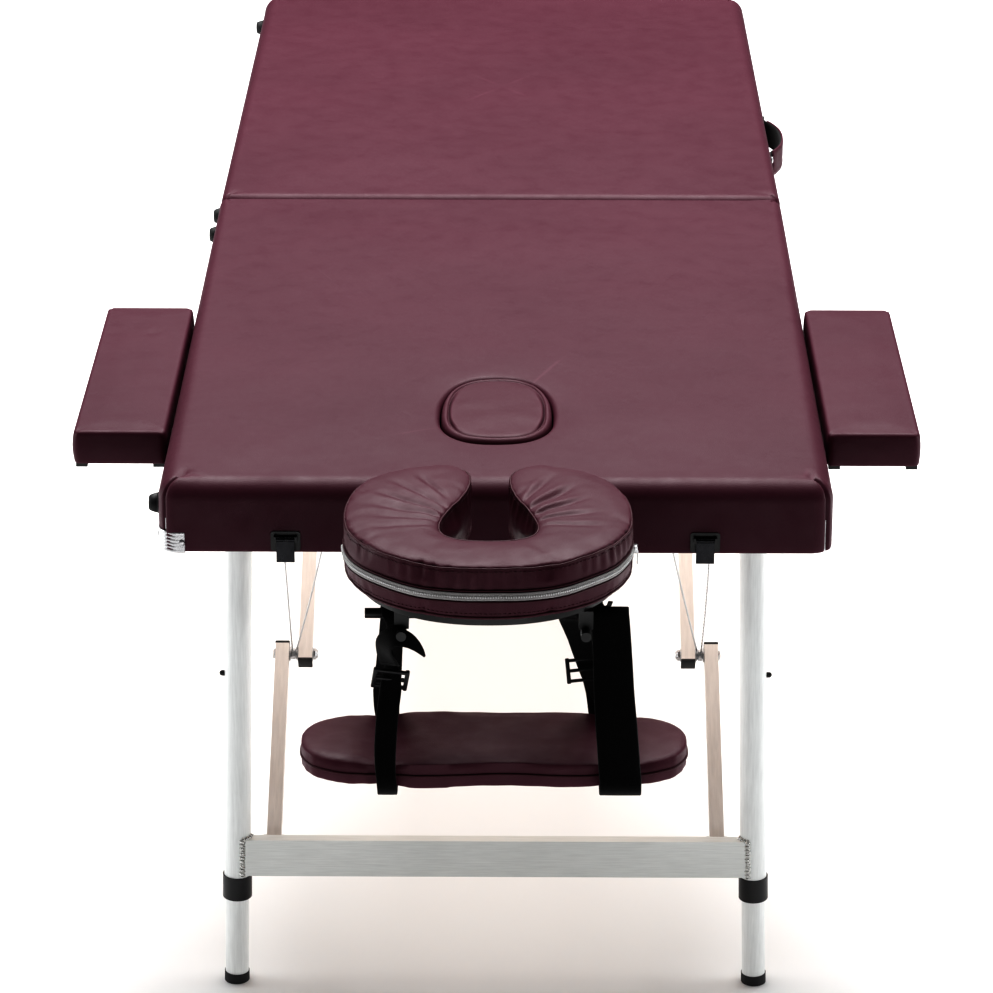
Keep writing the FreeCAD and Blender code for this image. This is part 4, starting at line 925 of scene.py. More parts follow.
# ------------------------------------------------------------------ plug of the face hole
def plug_piece():
    lo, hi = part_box("face_hole_plug")
    zt, zb = hi.z - 0.0012, lo.z
    ang = np.linspace(0, 2 * math.pi, 181)[:-1]
    full, yc_ = egg(ang)
    ctr = np.array([(lo.x + hi.x) / 2, yc_])
    rad = full - ctr
    ln = np.linalg.norm(rad, axis=1)[:, None]
    un = rad / ln
    rings = []
    for s in (0.06, 0.2, 0.36, 0.5, 0.62, 0.72, 0.8, 0.86):
        z = zt + 0.0026 * (1 - s * s)
        rings.append(np.column_stack([ctr + rad * s, np.full(len(ang), z)]))
    # sewn edge: a shallow channel 9 mm in from the rim, then the rolled welt
    for d, dz in ((0.0105, 0.0003), (0.0092, -0.0005), (0.0080, -0.0015), (0.0070, -0.0005), (0.0058, 0.0005), (0.0040, 0.0003), (0.0022, -0.0010), (0.0009, -0.0030), (0.0002, -0.0058)):
        rings.append(np.column_stack([full - un * d, np.full(len(ang), zt + dz)]))
    for z in (zt - 0.012, zt - 0.024, zb + 0.002):
        rings.append(np.column_stack([full, np.full(len(ang), z)]))
    rings.append(np.column_stack([full - un * 0.002, np.full(len(ang), zb)]))
    ob = loft("plug_cover", rings, M_VINYL_FACE)
    co = co_of(ob)
    m_ = smooth(zt - 0.002, zt, co[:, 2])
    co[:, 2] += m_ * fnoise(co, 34.0, 2.2) * 0.0009
    set_co(ob, co)
    tidy(ob, "face_plug")
    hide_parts("face_hole_plug")
    path = np.column_stack([full - un * 0.0080, np.full(len(ang), zt - 0.0013)])
    st = stitches("plug_stitches", np.vstack([path, path[:1]]), M_THREAD, 0.0032, 0.0016, 0.00045)
    tidy(st, "face_plug")


plug_piece()


# ------------------------------------------------------------------ side armrests
def pad_block(name, lo, hi, r_top, r_plan, mat, crown=0.0016, dimple=None, seed=0.0):
    """Upholstered block with crisp edges, upright sides and mitred corner folds."""
    zt, zb = hi.z - 0.001, lo.z

    def stations(a, b, step):
        near = [0.0, 0.0006, 0.0016, 0.0030, 0.0046, 0.0066, 0.0095, 0.014]
        k = max(2, int((b - a - 0.028) / step))
        midp = [0.014 + (b - a - 0.028) * i / k for i in range(1, k)]
        return [a + v for v in near] + [a + v for v in midp] + [b - v for v in near[::-1]]

    xs, ys = stations(lo.x, hi.x, 0.0055), stations(lo.y, hi.y, 0.0065)
    nx, ny = len(xs), len(ys)
    pts, nrm, dist = [], [], []
    for y in ys:
        for x in xs:
            c = (min(max(x, lo.x + r_plan), hi.x - r_plan), min(max(y, lo.y + r_plan), hi.y - r_plan))
            vx, vy = x - c[0], y - c[1]
            ln = math.hypot(vx, vy)
            if ln > 1e-9:
                r = max(abs(vx), abs(vy))
                px, py = c[0] + vx / ln * r, c[1] + vy / ln * r
                d = r_plan - r
                nn = (vx / ln, vy / ln)
            else:
                px, py = x, y
                d = min(x - lo.x, hi.x - x, y - lo.y, hi.y - y)
                nn = (0.0, 0.0)
            pts.append((px, py))
            nrm.append(nn)
            dist.append(d)
    pts, dist = np.array(pts), np.array(dist)
    q = np.clip(dist / r_top, 0, 1)
    z = zt - r_top * (1 - np.sqrt(np.clip(1 - (1 - q) ** 2, 0, 1)))
    z += smooth(0.003, 0.035, dist) * crown
    z += smooth(0.0, 0.02, dist) * np.array([noise.noise(Vector((p[0] * 21 + seed, p[1] * 21, seed))) for p in pts]) * 0.0006
    if dimple is not None:
        z -= 0.0016 * np.exp(-(np.hypot(pts[:, 0] - dimple[0], pts[:, 1] - dimple[1]) / 0.006) ** 2)
    for cx in (lo.x, hi.x):
        for cyy in (lo.y, hi.y):
            inw = np.array([1 if cx == lo.x else -1, 1 if cyy == lo.y else -1]) / math.sqrt(2)
            rel = pts - np.array([cx, cyy])
            t, w = rel @ inw, rel @ np.array([inw[1], -inw[0]])
            z -= 0.0012 * np.exp(-(w / 0.0012) ** 2) * (1 - smooth(0.010, 0.020, t))
    verts = [(p[0], p[1], h) for p, h in zip(pts, z)]
    faces = []
    for j in range(ny - 1):
        for i in range(nx - 1):
            o = j * nx + i
            faces.append((o, o + 1, o + nx + 1, o + nx))
    ring = [i for i in range(nx)] + [j * nx + nx - 1 for j in range(1, ny)] + [(ny - 1) * nx + i for i in range(nx - 2, -1, -1)] + [j * nx for j in range(ny - 2, 0, -1)]
    prev = ring
    m_ = len(ring)
    levels = [(t, None) for t in np.linspace(0.12, 1.0, 8)] + [(1.0, 0.0007), (1.0, 0.0022), (1.0, 0.012)]
    for t, ins in levels:
        row = []
        for v in ring:
            px, py, hz = verts[v]
            ux, uy = nrm[v]
            zz = (zt - r_top) * (1 - t) + (zb + 0.002) * t
            bul = 0.0012 * math.sin(math.pi * t) + 0.0005 * noise.noise(Vector((px * 40 + seed, py * 40, zz * 40)))
            if ins is None:
                p = (px + ux * bul, py + uy * bul, zz)
            else:
                k = ins
                p = (px - ux * k, py - uy * k, zb + (0.0006 if ins < 0.001 else 0.0))
            verts.append(p)
            row.append(len(verts) - 1)
        for i in range(m_):
            j = (i + 1) % m_
            faces.append((prev[i], prev[j], row[j], row[i]))
        prev = row
    verts.append(((lo.x + hi.x) / 2, (lo.y + hi.y) / 2, zb))
    for i in range(m_):
        faces.append((prev[i], prev[(i + 1) % m_], len(verts) - 1))
    return recalc(add_mesh(name, verts, faces, mat))


for side, sx in (("left", -1), ("right", 1)):
    lo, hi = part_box(side + "_armrest_pad")
    dimp = (-0.385, lo.y + 0.30) if side == "left" else None
    ob = pad_block(side + "_armrest_cover", lo, hi, 0.0045, 0.0075, M_VINYL, 0.0016, dimp, 3.0 + sx)
    tidy(ob, side + "_armrest")
    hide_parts(side + "_armrest_pad")
    cx, cy_ = (lo.x + hi.x) / 2, (lo.y + hi.y) / 2
    # black underside sheet tacked over the wrap
    u = rbox(side + "_armrest_underside", (lo.x + 0.006, lo.y + 0.006, lo.z - 0.0003), (hi.x - 0.006, hi.y - 0.006, lo.z + 0.002), 0.0008, M_LINER)
    tidy(u, side + "_armrest")
    # screws through the two bars
    bits = []
    for bx in ((hi.x - 0.008) if sx > 0 else (lo.x + 0.008), (lo.x + 0.008) if sx > 0 else (hi.x - 0.008)):
        for yy in (lo.y + 0.012, lo.y + 0.13, hi.y - 0.13, hi.y - 0.012):
            bits.append(turn("s", [(0, 0.0032), (0.0006, 0.0038), (0.0014, 0.0036), (0.0019, 0.0024), (0.0021, 0.0008)], (bx, yy, lo.z - 0.0040), (0, 0, -1), M_STEEL, 16))
    tidy(merge(side + "_armrest_screws", bits), side + "_armrest")


# ------------------------------------------------------------------ face cushion
FC_LO, FC_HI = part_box("face_cushion")
FCX = (FC_LO.x + FC_HI.x) / 2
FC_RX = (FC_HI.x - FC_LO.x) / 2
FC_YM = (FC_LO.y + FC_HI.y) / 2
FC_RY = (FC_HI.y - FC_LO.y) / 2


def horseshoe(n_out=220, n_in=120, shrink=0.0):
    """Closed outline of the face cushion seen from above: oval, lobes, throat and hole."""
    ks = [-214.0, -213.4, -211.5, -208, -203, -196, -186, -174, -160, -145, -130, -116, -102, -90, -78, -66, -54, -44, -35, -27, -21, -17, -14.5]
    kl = [0.0, 12, 24, 33, 38.5, 42, 43.5, 43, 40.5, 36.5, 32, 27.5, 23.5, 20.5, 18.5, 17.6, 17.8, 19.2, 22.0, 27.0, 34.0, 43.0, 56.0]
    kr = [0.0, 12, 24, 33, 38.5, 42, 43.5, 42.5, 39.5, 35.5, 31, 26.8, 23, 20.5, 18.8, 18.0, 18.4, 20.0, 23.2, 28.5, 36.0, 45.0, 58.0]
    mx = FCX + 0.001
    pts = []
    x_tip = 0.060
    a_end = 0.0
    front = FC_YM - FC_LO.y - shrink
    back = FC_HI.y - FC_YM - shrink

    def oval(a):
        c, s_ = math.cos(a), math.sin(a)
        if s_ >= 0:
            x = (FC_RX - shrink) * math.copysign(abs(c) ** 0.62, c)
            y = FC_YM + back * abs(s_) ** 0.80
        else:
            x = (FC_RX - shrink) * math.copysign(abs(c) ** 0.95, c)
            y = FC_YM - front * abs(s_) ** 0.97
        return FCX + x, y

    for k in range(200):
        a = math.pi / 2 * k / 199
        if oval(a)[0] - FCX > x_tip:
            a_end = a
    for k in range(n_out):
        a = a_end - (math.pi + 2 * a_end) * k / (n_out - 1)
        pts.append(oval(a))
    ys = np.array(ks[::-1])
    yy = np.concatenate([np.linspace(-14.5, -200, n_in // 2), np.linspace(-202, -213.9, 14)])
    sh = shrink * 1000
    left = [(mx - (np.interp(y, ks, kl) + sh) / 1000.0, YT + (y - sh * 0.9 * (y < -196) - sh * (y > -30)) / 1000.0) for y in yy]
    right = [(mx + (np.interp(y, ks, kr) + sh) / 1000.0, YT + (y - sh * 0.9 * (y < -196) - sh * (y > -30)) / 1000.0) for y in yy[::-1]]
    return pts + left + right


def round_loop(pts, step, passes):
    """Evenly spaced closed loop, smoothed a little."""
    p = np.array(pts)
    seg = np.linalg.norm(np.roll(p, -1, 0) - p, axis=1)
    s = np.concatenate([[0], np.cumsum(seg)])
    n = int(s[-1] / step)
    pc = np.vstack([p, p[:1]])
    u = np.linspace(0, s[-1], n + 1)[:-1]
    q = np.stack([np.interp(u, s, pc[:, k]) for k in range(2)], 1)
    for _ in range(passes):
        q = 0.5 * q + 0.25 * (np.roll(q, 1, 0) + np.roll(q, -1, 0))
    return q


def slab(name, loop, z0, z1, mat):
    """Solid with the loop's outline from z0 to z1."""
    n = len(loop)
    bm = bmesh.new()
    lo = [bm.verts.new((x, y, z0)) for x, y in loop]
    hi = [bm.verts.new((x, y, z1)) for x, y in loop]
    for i in range(n):
        j = (i + 1) % n
        bm.faces.new((lo[i], lo[j], hi[j], hi[i]))
    bm.faces.new(hi)
    bm.faces.new(lo[::-1])
    bmesh.ops.recalc_face_normals(bm, faces=bm.faces)
    bmesh.ops.triangulate(bm, faces=[f for f in bm.faces if len(f.verts) > 4])
    me = bpy.data.meshes.new(name)
    bm.to_mesh(me)
    bm.free()
    ob = bpy.data.objects.new(name, me)
    scene.collection.objects.link(ob)
    me.materials.append(mat)
    return ob


def loop_distance(co, loop, z=None):
    """Distance in plan (or in space) from each vertex to the closed loop, and the loop position."""
    kd = KDTree(len(loop))
    for i, q in enumerate(loop):
        kd.insert((q[0], q[1], 0 if z is None else q[2]), i)
    kd.balance()
    d = np.zeros(len(co))
    ix = np.zeros(len(co), int)
    for k, v in enumerate(co):
        _, i, dist = kd.find((v[0], v[1], 0 if z is None else v[2]))
        d[k], ix[k] = dist, i
    return d, ix


def snap_loop(ob, pts3, lift):
    """Moves points on to the surface, lift above it."""
    me = ob.data
    bvh = BVHTree.FromPolygons([v.co for v in me.vertices], [p.vertices for p in me.polygons])
    out = []
    for p in pts3:
        loc, nrm, _, _ = bvh.find_nearest(Vector(p))
        out.append(np.array(loc + nrm * lift))
    return np.array(out)


def face_cushion():
    zb, zt = FC_LO.z, FC_HI.z
    seam_t, seam_b = zt - 0.0030, zb + 0.0040
    loop = round_loop(horseshoe(shrink=0.0035), 0.003, 14)
    body = slab("face_cushion_cover", loop, seam_b + 0.0005, seam_t - 0.0015, M_VINYL_FACE)
    inflate(body, 0.0042, 4.0, 0.006, 16, 1)
    co = co_of(body)
    # boxing keeps its height; the panels crown over the foam
    dense = round_loop(horseshoe(), 0.0015, 24)
    d, ix = loop_distance(co, dense)
    zc = (zb + zt) / 2
    up_m = smooth(zc + 0.012, zc + 0.021, co[:, 2])
    dn_m = 1 - smooth(zc - 0.021, zc - 0.012, co[:, 2])
    crown = 1 - np.exp(-np.maximum(d - 0.001, 0) / 0.010)
    mid_t = seam_t + 0.0052 * crown
    mid_b = seam_b - (seam_b - zb) * crown
    co[:, 2] = co[:, 2] * (1 - up_m * 0.75) + mid_t * up_m * 0.75
    co[:, 2] = co[:, 2] * (1 - dn_m) + mid_b * dn_m
    # wrinkles run out from the hole and across the lobes, where the skin is pulled over the foam
    hx, hy = FCX, YT - 0.172
    ang = np.arctan2(co[:, 1] - hy, co[:, 0] - hx)
    rad = np.hypot(co[:, 0] - hx, co[:, 1] - hy)
    wr = np.zeros(len(co))
    for a0, r0, r1, amp, wid in (
            (0.42, 0.040, 0.108, 0.0030, 0.045), (0.70, 0.038, 0.120, 0.0034, 0.05), (0.98, 0.050, 0.125, 0.0022, 0.04), (0.10, 0.045, 0.11, 0.0020, 0.05), (-0.20, 0.055, 0.12, 0.0013, 0.05),
            (2.18, 0.075, 0.135, 0.0022, 0.035), (2.42, 0.055, 0.135, 0.0026, 0.04), (2.66, 0.050, 0.128, 0.0026, 0.045), (2.90, 0.045, 0.120, 0.0020, 0.05), (3.14, 0.045, 0.11, 0.0014, 0.05), (-2.9, 0.06, 0.12, 0.0010, 0.05)):
        da = (ang - a0 + math.pi) % (2 * math.pi) - math.pi
        bend = da - 0.9 * (rad - r0) * (1 if math.cos(a0) > 0 else -1) * 1.2
        env = smooth(r0 - 0.012, r0 + 0.010, rad) * (1 - smooth(r1 - 0.03, r1 + 0.012, rad))
        wr -= amp * env * np.exp(-(bend / wid) ** 2)
        wr += amp * 0.5 * env * np.exp(-((bend - 1.7 * wid) / wid) ** 2)
    co[:, 2] += up_m * wr * smooth(0.002, 0.014, d)
    lump = fnoise(co, 26.0, 7.7) * 0.0011 + fnoise(co, 60.0, 2.7) * 0.0005
    co[:, 2] += up_m * lump * smooth(0.0, 0.012, d)
    # puckers under the top seam on the boxing
    side_m = (1 - up_m) * (1 - dn_m)
    arc = ix * 0.0015
    puck = np.sin(arc * 2 * math.pi / 0.0145 + 1.6 * np.sin(arc * 23.0)) * (0.5 + 0.5 * np.sin(arc * 31.0 + 1.0))
    fall = smooth(zc - 0.004, seam_t - 0.006, co[:, 2]) * (1 - smooth(seam_t - 0.003, seam_t + 0.001, co[:, 2]))
    nrm = normals_of(body)
    flat = nrm.copy()
    flat[:, 2] = 0
    co += flat * (puck * 0.0013 * fall + side_m * fnoise(co, 30.0, 4.4) * 0.0009)[:, None]
    co[:, 2] = np.clip(co[:, 2], zb, zt + 0.004)
    set_co(body, co)
    sm = body.modifiers.new("sm", "SMOOTH")
    sm.factor = 0.5
    sm.iterations = 1
    apply_mods(body)
    tidy(body, "cradle_top")
    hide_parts("face_cushion")
    # sewn seams: welts at the boxing's upper and lower edge with the thread beside them
    loop_t = np.column_stack([dense, np.full(len(dense), seam_t)])
    loop_b = np.column_stack([dense, np.full(len(dense), seam_b)])
    parts = []
    for nm, lp, r in (("t", loop_t, 0.0011), ("b", loop_b, 0.0011)):
        s3 = snap_loop(body, lp[::2], 0.0002)
        for _ in range(4):
            s3 = 0.5 * s3 + 0.25 * (np.roll(s3, 1, 0) + np.roll(s3, -1, 0))
        parts.append(tube("welt_" + nm, s3, r, M_PIPE, 8, True))
        off = snap_loop(body, lp[::2] + np.array([0, 0, -0.0042 if nm == "t" else 0.0042]), 0.0003)
        off = 0.5 * off + 0.25 * (np.roll(off, 1, 0) + np.roll(off, -1, 0))
        st = stitches("face_stitches_" + nm, np.vstack([off, off[:1]]), M_THREAD, 0.0030, 0.0016, 0.0004)
        tidy(st, "cradle_top")
    w = merge("face_cushion_welts", parts)
    tidy(w, "cradle_top")
    # zip round the front of the boxing, between the two upright seams
    fr = [q for q in dense if q[1] < FC_YM - 0.006]
    outer = [q for q in fr if math.hypot((q[0] - FCX) / FC_RX, (q[1] - FC_YM) / FC_RY) > 0.93]
    a_ = [math.atan2((q[1] - FC_YM) / FC_RY, (q[0] - FCX) / FC_RX) for q in outer]
    a_ = [v if v < 1.2 else v - 2 * math.pi for v in a_]
    outer = [q for _, q in sorted(zip(a_, outer), key=lambda t: t[0])]
    zz = zc - 0.0025
    line = snap_loop(body, [(q[0], q[1], zz) for q in outer], 0.0)
    line[:, 2] = zz
    for _ in range(10):
        line[1:-1] = 0.5 * line[1:-1] + 0.25 * (line[2:] + line[:-2])
    ctr = np.array([FCX, FC_YM, 0])
    rad_ = line - ctr
    rad_[:, 2] = 0
    rad_ /= np.linalg.norm(rad_, axis=1)[:, None]
    tape = ribbon("zip_tape", line + rad_ * 0.0011, np.array([0, 0, 1.0]), 0.0078, 0.0012, M_ZIP)
    tidy(tape, "cradle_top")
    teeth = stitches("zip_teeth", line + rad_ * 0.0019, M_TEETH, 0.0013, 0.0011, 0.0013)
    tidy(teeth, "cradle_top")
    for k, dz in (("u", 0.0058), ("d", -0.0058)):
        ed = line + rad_ * 0.0008
        ed[:, 2] += dz
        tidy(tube("zip_edge_" + k, ed, 0.0009, M_PIPE, 6), "cradle_top")
    # slider and pull near the right end
    k = int(len(line) * 0.985)
    p = line[k] + rad_[k] * 0.0035
    t_ = line[k] - line[k - 2]
    t_ /= np.linalg.norm(t_)
    sl = rbox("zip_slider", (-0.0045, -0.0035, -0.002), (0.0045, 0.0035, 0.002), 0.001, M_STEEL)
    sl.matrix_world = Matrix.Translation(Vector(p)) @ Matrix((tuple(t_), (0, 0, 1), tuple(rad_[k]))).transposed().to_4x4()
    pull = rbox("zip_pull", (-0.002, -0.016, -0.0006), (0.002, -0.002, 0.0006), 0.0005, M_STEEL)
    pull.matrix_world = Matrix.Translation(Vector(p + rad_[k] * 0.0022)) @ Matrix((tuple(t_), (0, 0, 1), tuple(rad_[k]))).transposed().to_4x4()
    bpy.context.view_layer.update()
    tidy(merge("zip_slider_pull", [sl, pull]), "cradle_top")
    # upright seams where the zip panel meets the back panel
    for tag, k in (("l", 0), ("r", len(line) - 1)):
        q = line[k] + rad_[k] * 0.0
        col = snap_loop(body, [(q[0], q[1] + 0.004, z) for z in np.linspace(seam_b, seam_t, 14)], 0.0002)
        tidy(tube("boxing_seam_" + tag, col, 0.0010, M_PIPE, 8), "cradle_top")
    return body


face_body = face_cushion()


# ------------------------------------------------------------------ arm sling
SP_LO, SP_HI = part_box("sling_pad")


def sling_loop(shrink=0.0):
    cx, cy_ = (SP_LO.x + SP_HI.x) / 2, (SP_LO.y + SP_HI.y) / 2
    hx, hy = (SP_HI.x - SP_LO.x) / 2 - shrink, (SP_HI.y - SP_LO.y) / 2 - shrink
    pts = []
    for k in range(240):
        a = 2 * math.pi * k / 240
        c, s = math.cos(a), math.sin(a)
        x = hx * math.copysign(abs(c) ** 0.55, c)
        y = hy * math.copysign(abs(s) ** 0.75, s)
        if s < 0:  # the front edge is drawn in a little near the middle
            y += 0.006 * math.exp(-((x - 0.012) / 0.045) ** 2) * abs(s)
        pts.append((cx + x, cy_ + y))
    return pts


def sling_pad():
    zb, zt = SP_LO.z, SP_HI.z
    zc = (zb + zt) / 2
    loop = round_loop(sling_loop(0.003), 0.004, 4)
    ob = slab("sling_pad_cover", loop, zc - 0.0105, zc + 0.0105, M_VINYL_FACE)
    inflate(ob, 0.005, 4.0, 0.007, 16, 1)
    co = co_of(ob)
    dense = round_loop(sling_loop(), 0.002, 6)
    d, ix = loop_distance(co, dense)
    prof = np.sqrt(np.clip(1 - (1 - np.clip(d / 0.013, 0, 1)) ** 2, 0, 1))
    want = zc + np.sign(co[:, 2] - zc) * (zt - zc) * np.maximum(prof, 0.2)
    k = smooth(0.001, 0.004, np.abs(co[:, 2] - zc)) * 0.85
    co[:, 2] = co[:, 2] * (1 - k) + want * k
    co[:, 2] += fnoise(co, 18.0, 6.1) * 0.0016 * smooth(0, 0.02, d) + fnoise(co, 45.0, 2.1) * 0.0006
    # the straps press into the top
    for xs in (-0.108, 0.120):
        co[:, 2] -= 0.003 * np.exp(-((co[:, 0] - xs) / 0.020) ** 2) * (co[:, 2] > zc)
        co[:, 2] += 0.003 * np.exp(-((co[:, 0] - xs) / 0.020) ** 2) * (co[:, 2] < zc)
    co[:, 2] = np.clip(co[:, 2], zb, zt + 0.001)
    set_co(ob, co)
    tidy(ob, "arm_sling")
    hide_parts("sling_pad")
    s3 = snap_loop(ob, np.column_stack([dense, np.full(len(dense), zc)]), 0.0003)
    for _ in range(6):
        s3 = 0.5 * s3 + 0.25 * (np.roll(s3, 1, 0) + np.roll(s3, -1, 0))
    w = tube("sling_pad_welt", s3, 0.0013, M_PIPE, 8, True)
    tidy(w, "arm_sling")
    return ob


sling_body = sling_pad()


def strap_path(pts, step=0.004):
    return resample([T(*p) for p in pts], step)


def key_interp(keys, vals):
    vals = np.asarray(vals, float)
    k = np.arange(len(vals))
    if vals.ndim == 1:
        return np.interp(keys, k, vals)
    return np.stack([np.interp(keys, k, vals[:, i]) for i in range(vals.shape[1])], 1)


def sling_straps():
    zt, zb = SP_HI.z * 1000, SP_LO.z * 1000
    ZR, YR = 541.0, -192.0  # cross rod
    out = []
    # left strap: over the rod, twisted on its edge, through the buckle, over the pad's front edge and under it
    L = [(-98, -187, 545), (-98, -192, 547.6), (-98, -197.5, 544), (-97, -203, 530), (-101, -212, 512), (-99, -221, 494), (-99, -228, 478), (-102, -238, 455), (-104, -250, 428), (-104, -260, 412.5), (-103, -267.0, 402), (-102, -267.8, 389), (-102, -258, 380.3), (-102, -225, 379.4), (-102, -190, 379.2), (-103, -150, 379.4), (-104, -125, 381), (-106, -116, 392), (-107, -117, 406), (-106, -130, 430), (-103, -152, 470), (-100, -172, 512), (-98, -184, 536), (-98, -187, 545)]
    wid = [22, 22, 20, 14, 10, 16, 20, 20, 20, 19, 18, 18, 18, 18, 18, 18, 19, 22, 24, 26, 24, 22, 22, 22]
    acr = [(1, 0, 0), (1, 0, 0), (1, 0, 0), (0.8, -0.55, 0), (0.55, -0.8, 0.1), (0.85, -0.5, 0), (1, -0.15, 0)] + [(1, 0, 0)] * 17
    p, k = strap_path(L)
    out.append(ribbon("sling_webbing_left", p, key_interp(k, acr), key_interp(k, wid) / 1000.0, 0.0017, M_WEB, cup=0.0006))
    # its loose end curls out of the buckle to a hooked tip
    Tl = [(-100, -222, 500), (-104, -229, 514), (-105, -236, 527), (-99, -241, 536.5), (-90, -243, 538.5), (-81, -243, 535), (-74, -242, 529), (-69, -241, 522.5), (-66, -240, 517)]
    p, k = strap_path(Tl, 0.003)
    out.append(ribbon("sling_webbing_left_tail", p, key_interp(k, [(0.9, -0.4, 0.1), (0.8, -0.5, -0.2), (0.6, -0.4, -0.5), (0.35, -0.35, -0.85), (0.05, -0.35, -0.92), (-0.25, -0.35, -0.88), (-0.4, -0.35, -0.8), (-0.5, -0.35, -0.75), (-0.5, -0.35, -0.75)]), key_interp(k, [20, 20, 19, 18, 17, 14, 10, 6, 2]) / 1000.0, 0.0016, M_WEB))
    # right strap: broad run in front, over the pad's front edge, under it and up behind
    R = [(112, -187, 545), (112, -192, 547.6), (112, -197.5, 544), (113, -203, 527), (114.5, -212, 500), (116, -224, 470), (118, -238, 445), (120, -252, 422), (121, -261, 409), (122, -267.4, 400), (122, -268.0, 389), (122, -258, 380.4), (122, -225, 379.0), (122, -190, 378.8), (121, -150, 379.2), (119, -125, 381), (116, -117, 392), (112, -119.5, 404), (106, -130, 430), (97, -150, 468), (90, -170, 510), (92, -183, 536), (100, -187.5, 545), (112, -187, 545)]
    wr = [34, 34, 34, 35, 36, 37, 38, 38, 38, 38, 38, 38, 38, 38, 38, 38, 38, 36, 30, 26, 28, 30, 34, 34]
    p, k = strap_path(R)
    out.append(ribbon("sling_webbing_right", p, key_interp(k, [(1, 0, 0)] * 24), key_interp(k, wr) / 1000.0, 0.0017, M_WEB, cup=0.0005))
    # second run from the buckle's bar back to the rod
    R2 = [(78, -200, 546), (78, -197.5, 541), (79, -190, 533), (83, -181, 510), (88, -172, 486), (93, -160, 462), (99, -146, 438), (104, -131, 415)]
    p, k = strap_path(R2)
    out.append(ribbon("sling_webbing_right_back", p, key_interp(k, [(1, 0, 0)] * 8), key_interp(k, [32, 32, 30, 22, 19, 16, 12, 8]) / 1000.0, 0.0017, M_WEB))
    for o in out:
        tidy(o, "arm_sling")
    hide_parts("sling_strap_left")
    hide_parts("sling_strap_right")
    # ladder buckles
    bits = []
    for bx, by, bz, tilt, w in ((-99.5, -224, 486, 0.35, 31), (87, -175, 474, -0.4, 30)):
        w2 = w / 2000.0
        pieces_ = []
        for dz in (-0.010, 0.0, 0.010):
            pieces_.append(rbox("b", (-w2, -0.0018, dz - 0.0016), (w2, 0.0018, dz + 0.0016), 0.0008, M_BLACK, 2))
        for s_ in (-1, 1):
            pieces_.append(rbox("b", (s_ * w2 - 0.002, -0.0022, -0.0125), (s_ * w2 + 0.002, 0.0022, 0.0125), 0.001, M_BLACK, 2))
        for q in pieces_:
            q.matrix_world = Matrix.Translation(T(bx, by, bz)) @ Matrix.Rotation(tilt, 4, "X") @ Matrix.Rotation(0.15 if bx < 0 else -0.1, 4, "Y")
        bpy.context.view_layer.update()
        bits += pieces_
    b = merge("sling_ladder_buckles", bits)
    tidy(b, "arm_sling")
    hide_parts("sling_buckles")


sling_straps()


# ------------------------------------------------------------------ carry handle
def handle():
    lo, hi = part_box("carry_handle")
    yc_, zc_ = (lo.y + hi.y) / 2, (lo.z + hi.z) / 2
    x0 = lo.x
    hl = (hi.y - lo.y) / 2
    base = [(x0 + 0.0012, -hl), (x0 + 0.0012, -hl + 0.02), (x0 + 0.008, -hl + 0.034), (x0 + 0.0150, -hl + 0.055), (x0 + 0.0180, -0.012), (x0 + 0.0180, 0.012), (x0 + 0.0150, hl - 0.055), (x0 + 0.008, hl - 0.034), (x0 + 0.0012, hl - 0.02), (x0 + 0.0012, hl)]
    pts = [(x, yc_ + y, zc_) for x, y in base]
    p, k = resample(pts, 0.004)
    inner = ribbon("carry_handle_webbing", p, np.array([0, 0, 1.0]), 0.031, 0.0018, M_WEB)
    outp = p.copy()
    t = np.gradient(p, axis=0)
    t /= np.linalg.norm(t, axis=1)[:, None]
    nrm = np.stack([t[:, 1], -t[:, 0], np.zeros(len(t))], 1)
    outp += nrm * 0.0019
    m_ = slice(6, len(p) - 6)
    cov = ribbon("carry_handle_cover", outp[m_], np.array([0, 0, 1.0]), 0.033, 0.0020, M_VINYL, cup=0.0012)
    tidy(inner, "foot_section")
    tidy(cov, "foot_section")
    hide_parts("carry_handle")
    for s_ in (-1, 1):
        q = outp[m_] + nrm[m_] * 0.0013
        q[:, 2] += s_ * 0.0125
        tidy(stitches("handle_stitches_%s" % ("u" if s_ > 0 else "d"), q, M_THREAD, 0.003, 0.0016, 0.0004), "foot_section")
    bits = []
    for s_ in (-1, 1):
        for dz in (-0.009, 0.009):
            bits.append(turn("r", [(0, 0.0042), (0.0007, 0.0046), (0.0016, 0.0042), (0.0024, 0.0028), (0.0027, 0.0008)], (x0 + 0.0022, yc_ + s_ * (hl - 0.010), zc_ + dz), (1, 0, 0), M_STEEL, 18))
    tidy(merge("handle_rivets", bits), "foot_section")


handle()


# ------------------------------------------------------------------ side studs, corner guards
def studs():
    for end in ("head", "foot"):
        lo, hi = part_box(end + "_side_bumpers")
        ys = (lo.y + 0.011, hi.y - 0.011)
        bits = []
        for y in ys:
            z = (lo.z + hi.z) / 2
            bits.append(turn("s", [(0, 0.0112), (0.0012, 0.0114), (0.0030, 0.0106), (0.0034, 0.0100), (0.0040, 0.0104), (0.0090, 0.0088), (0.0112, 0.0078), (0.0120, 0.0062), (0.0121, 0.0040), (0.0104, 0.0036), (0.0102, 0.0010)], (hi.x, y, z), (-1, 0, 0), M_RUBBER, 32))
            bits.append(turn("s", [(0.0100, 0.0030), (0.0112, 0.0030), (0.0116, 0.0020), (0.0116, 0.0006)], (hi.x, y, z), (-1, 0, 0), M_STEEL, 18))
        ob = merge(end + "_side_studs", bits)
        tidy(ob, end + "_section")
        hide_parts(end + "_side_bumpers")


studs()


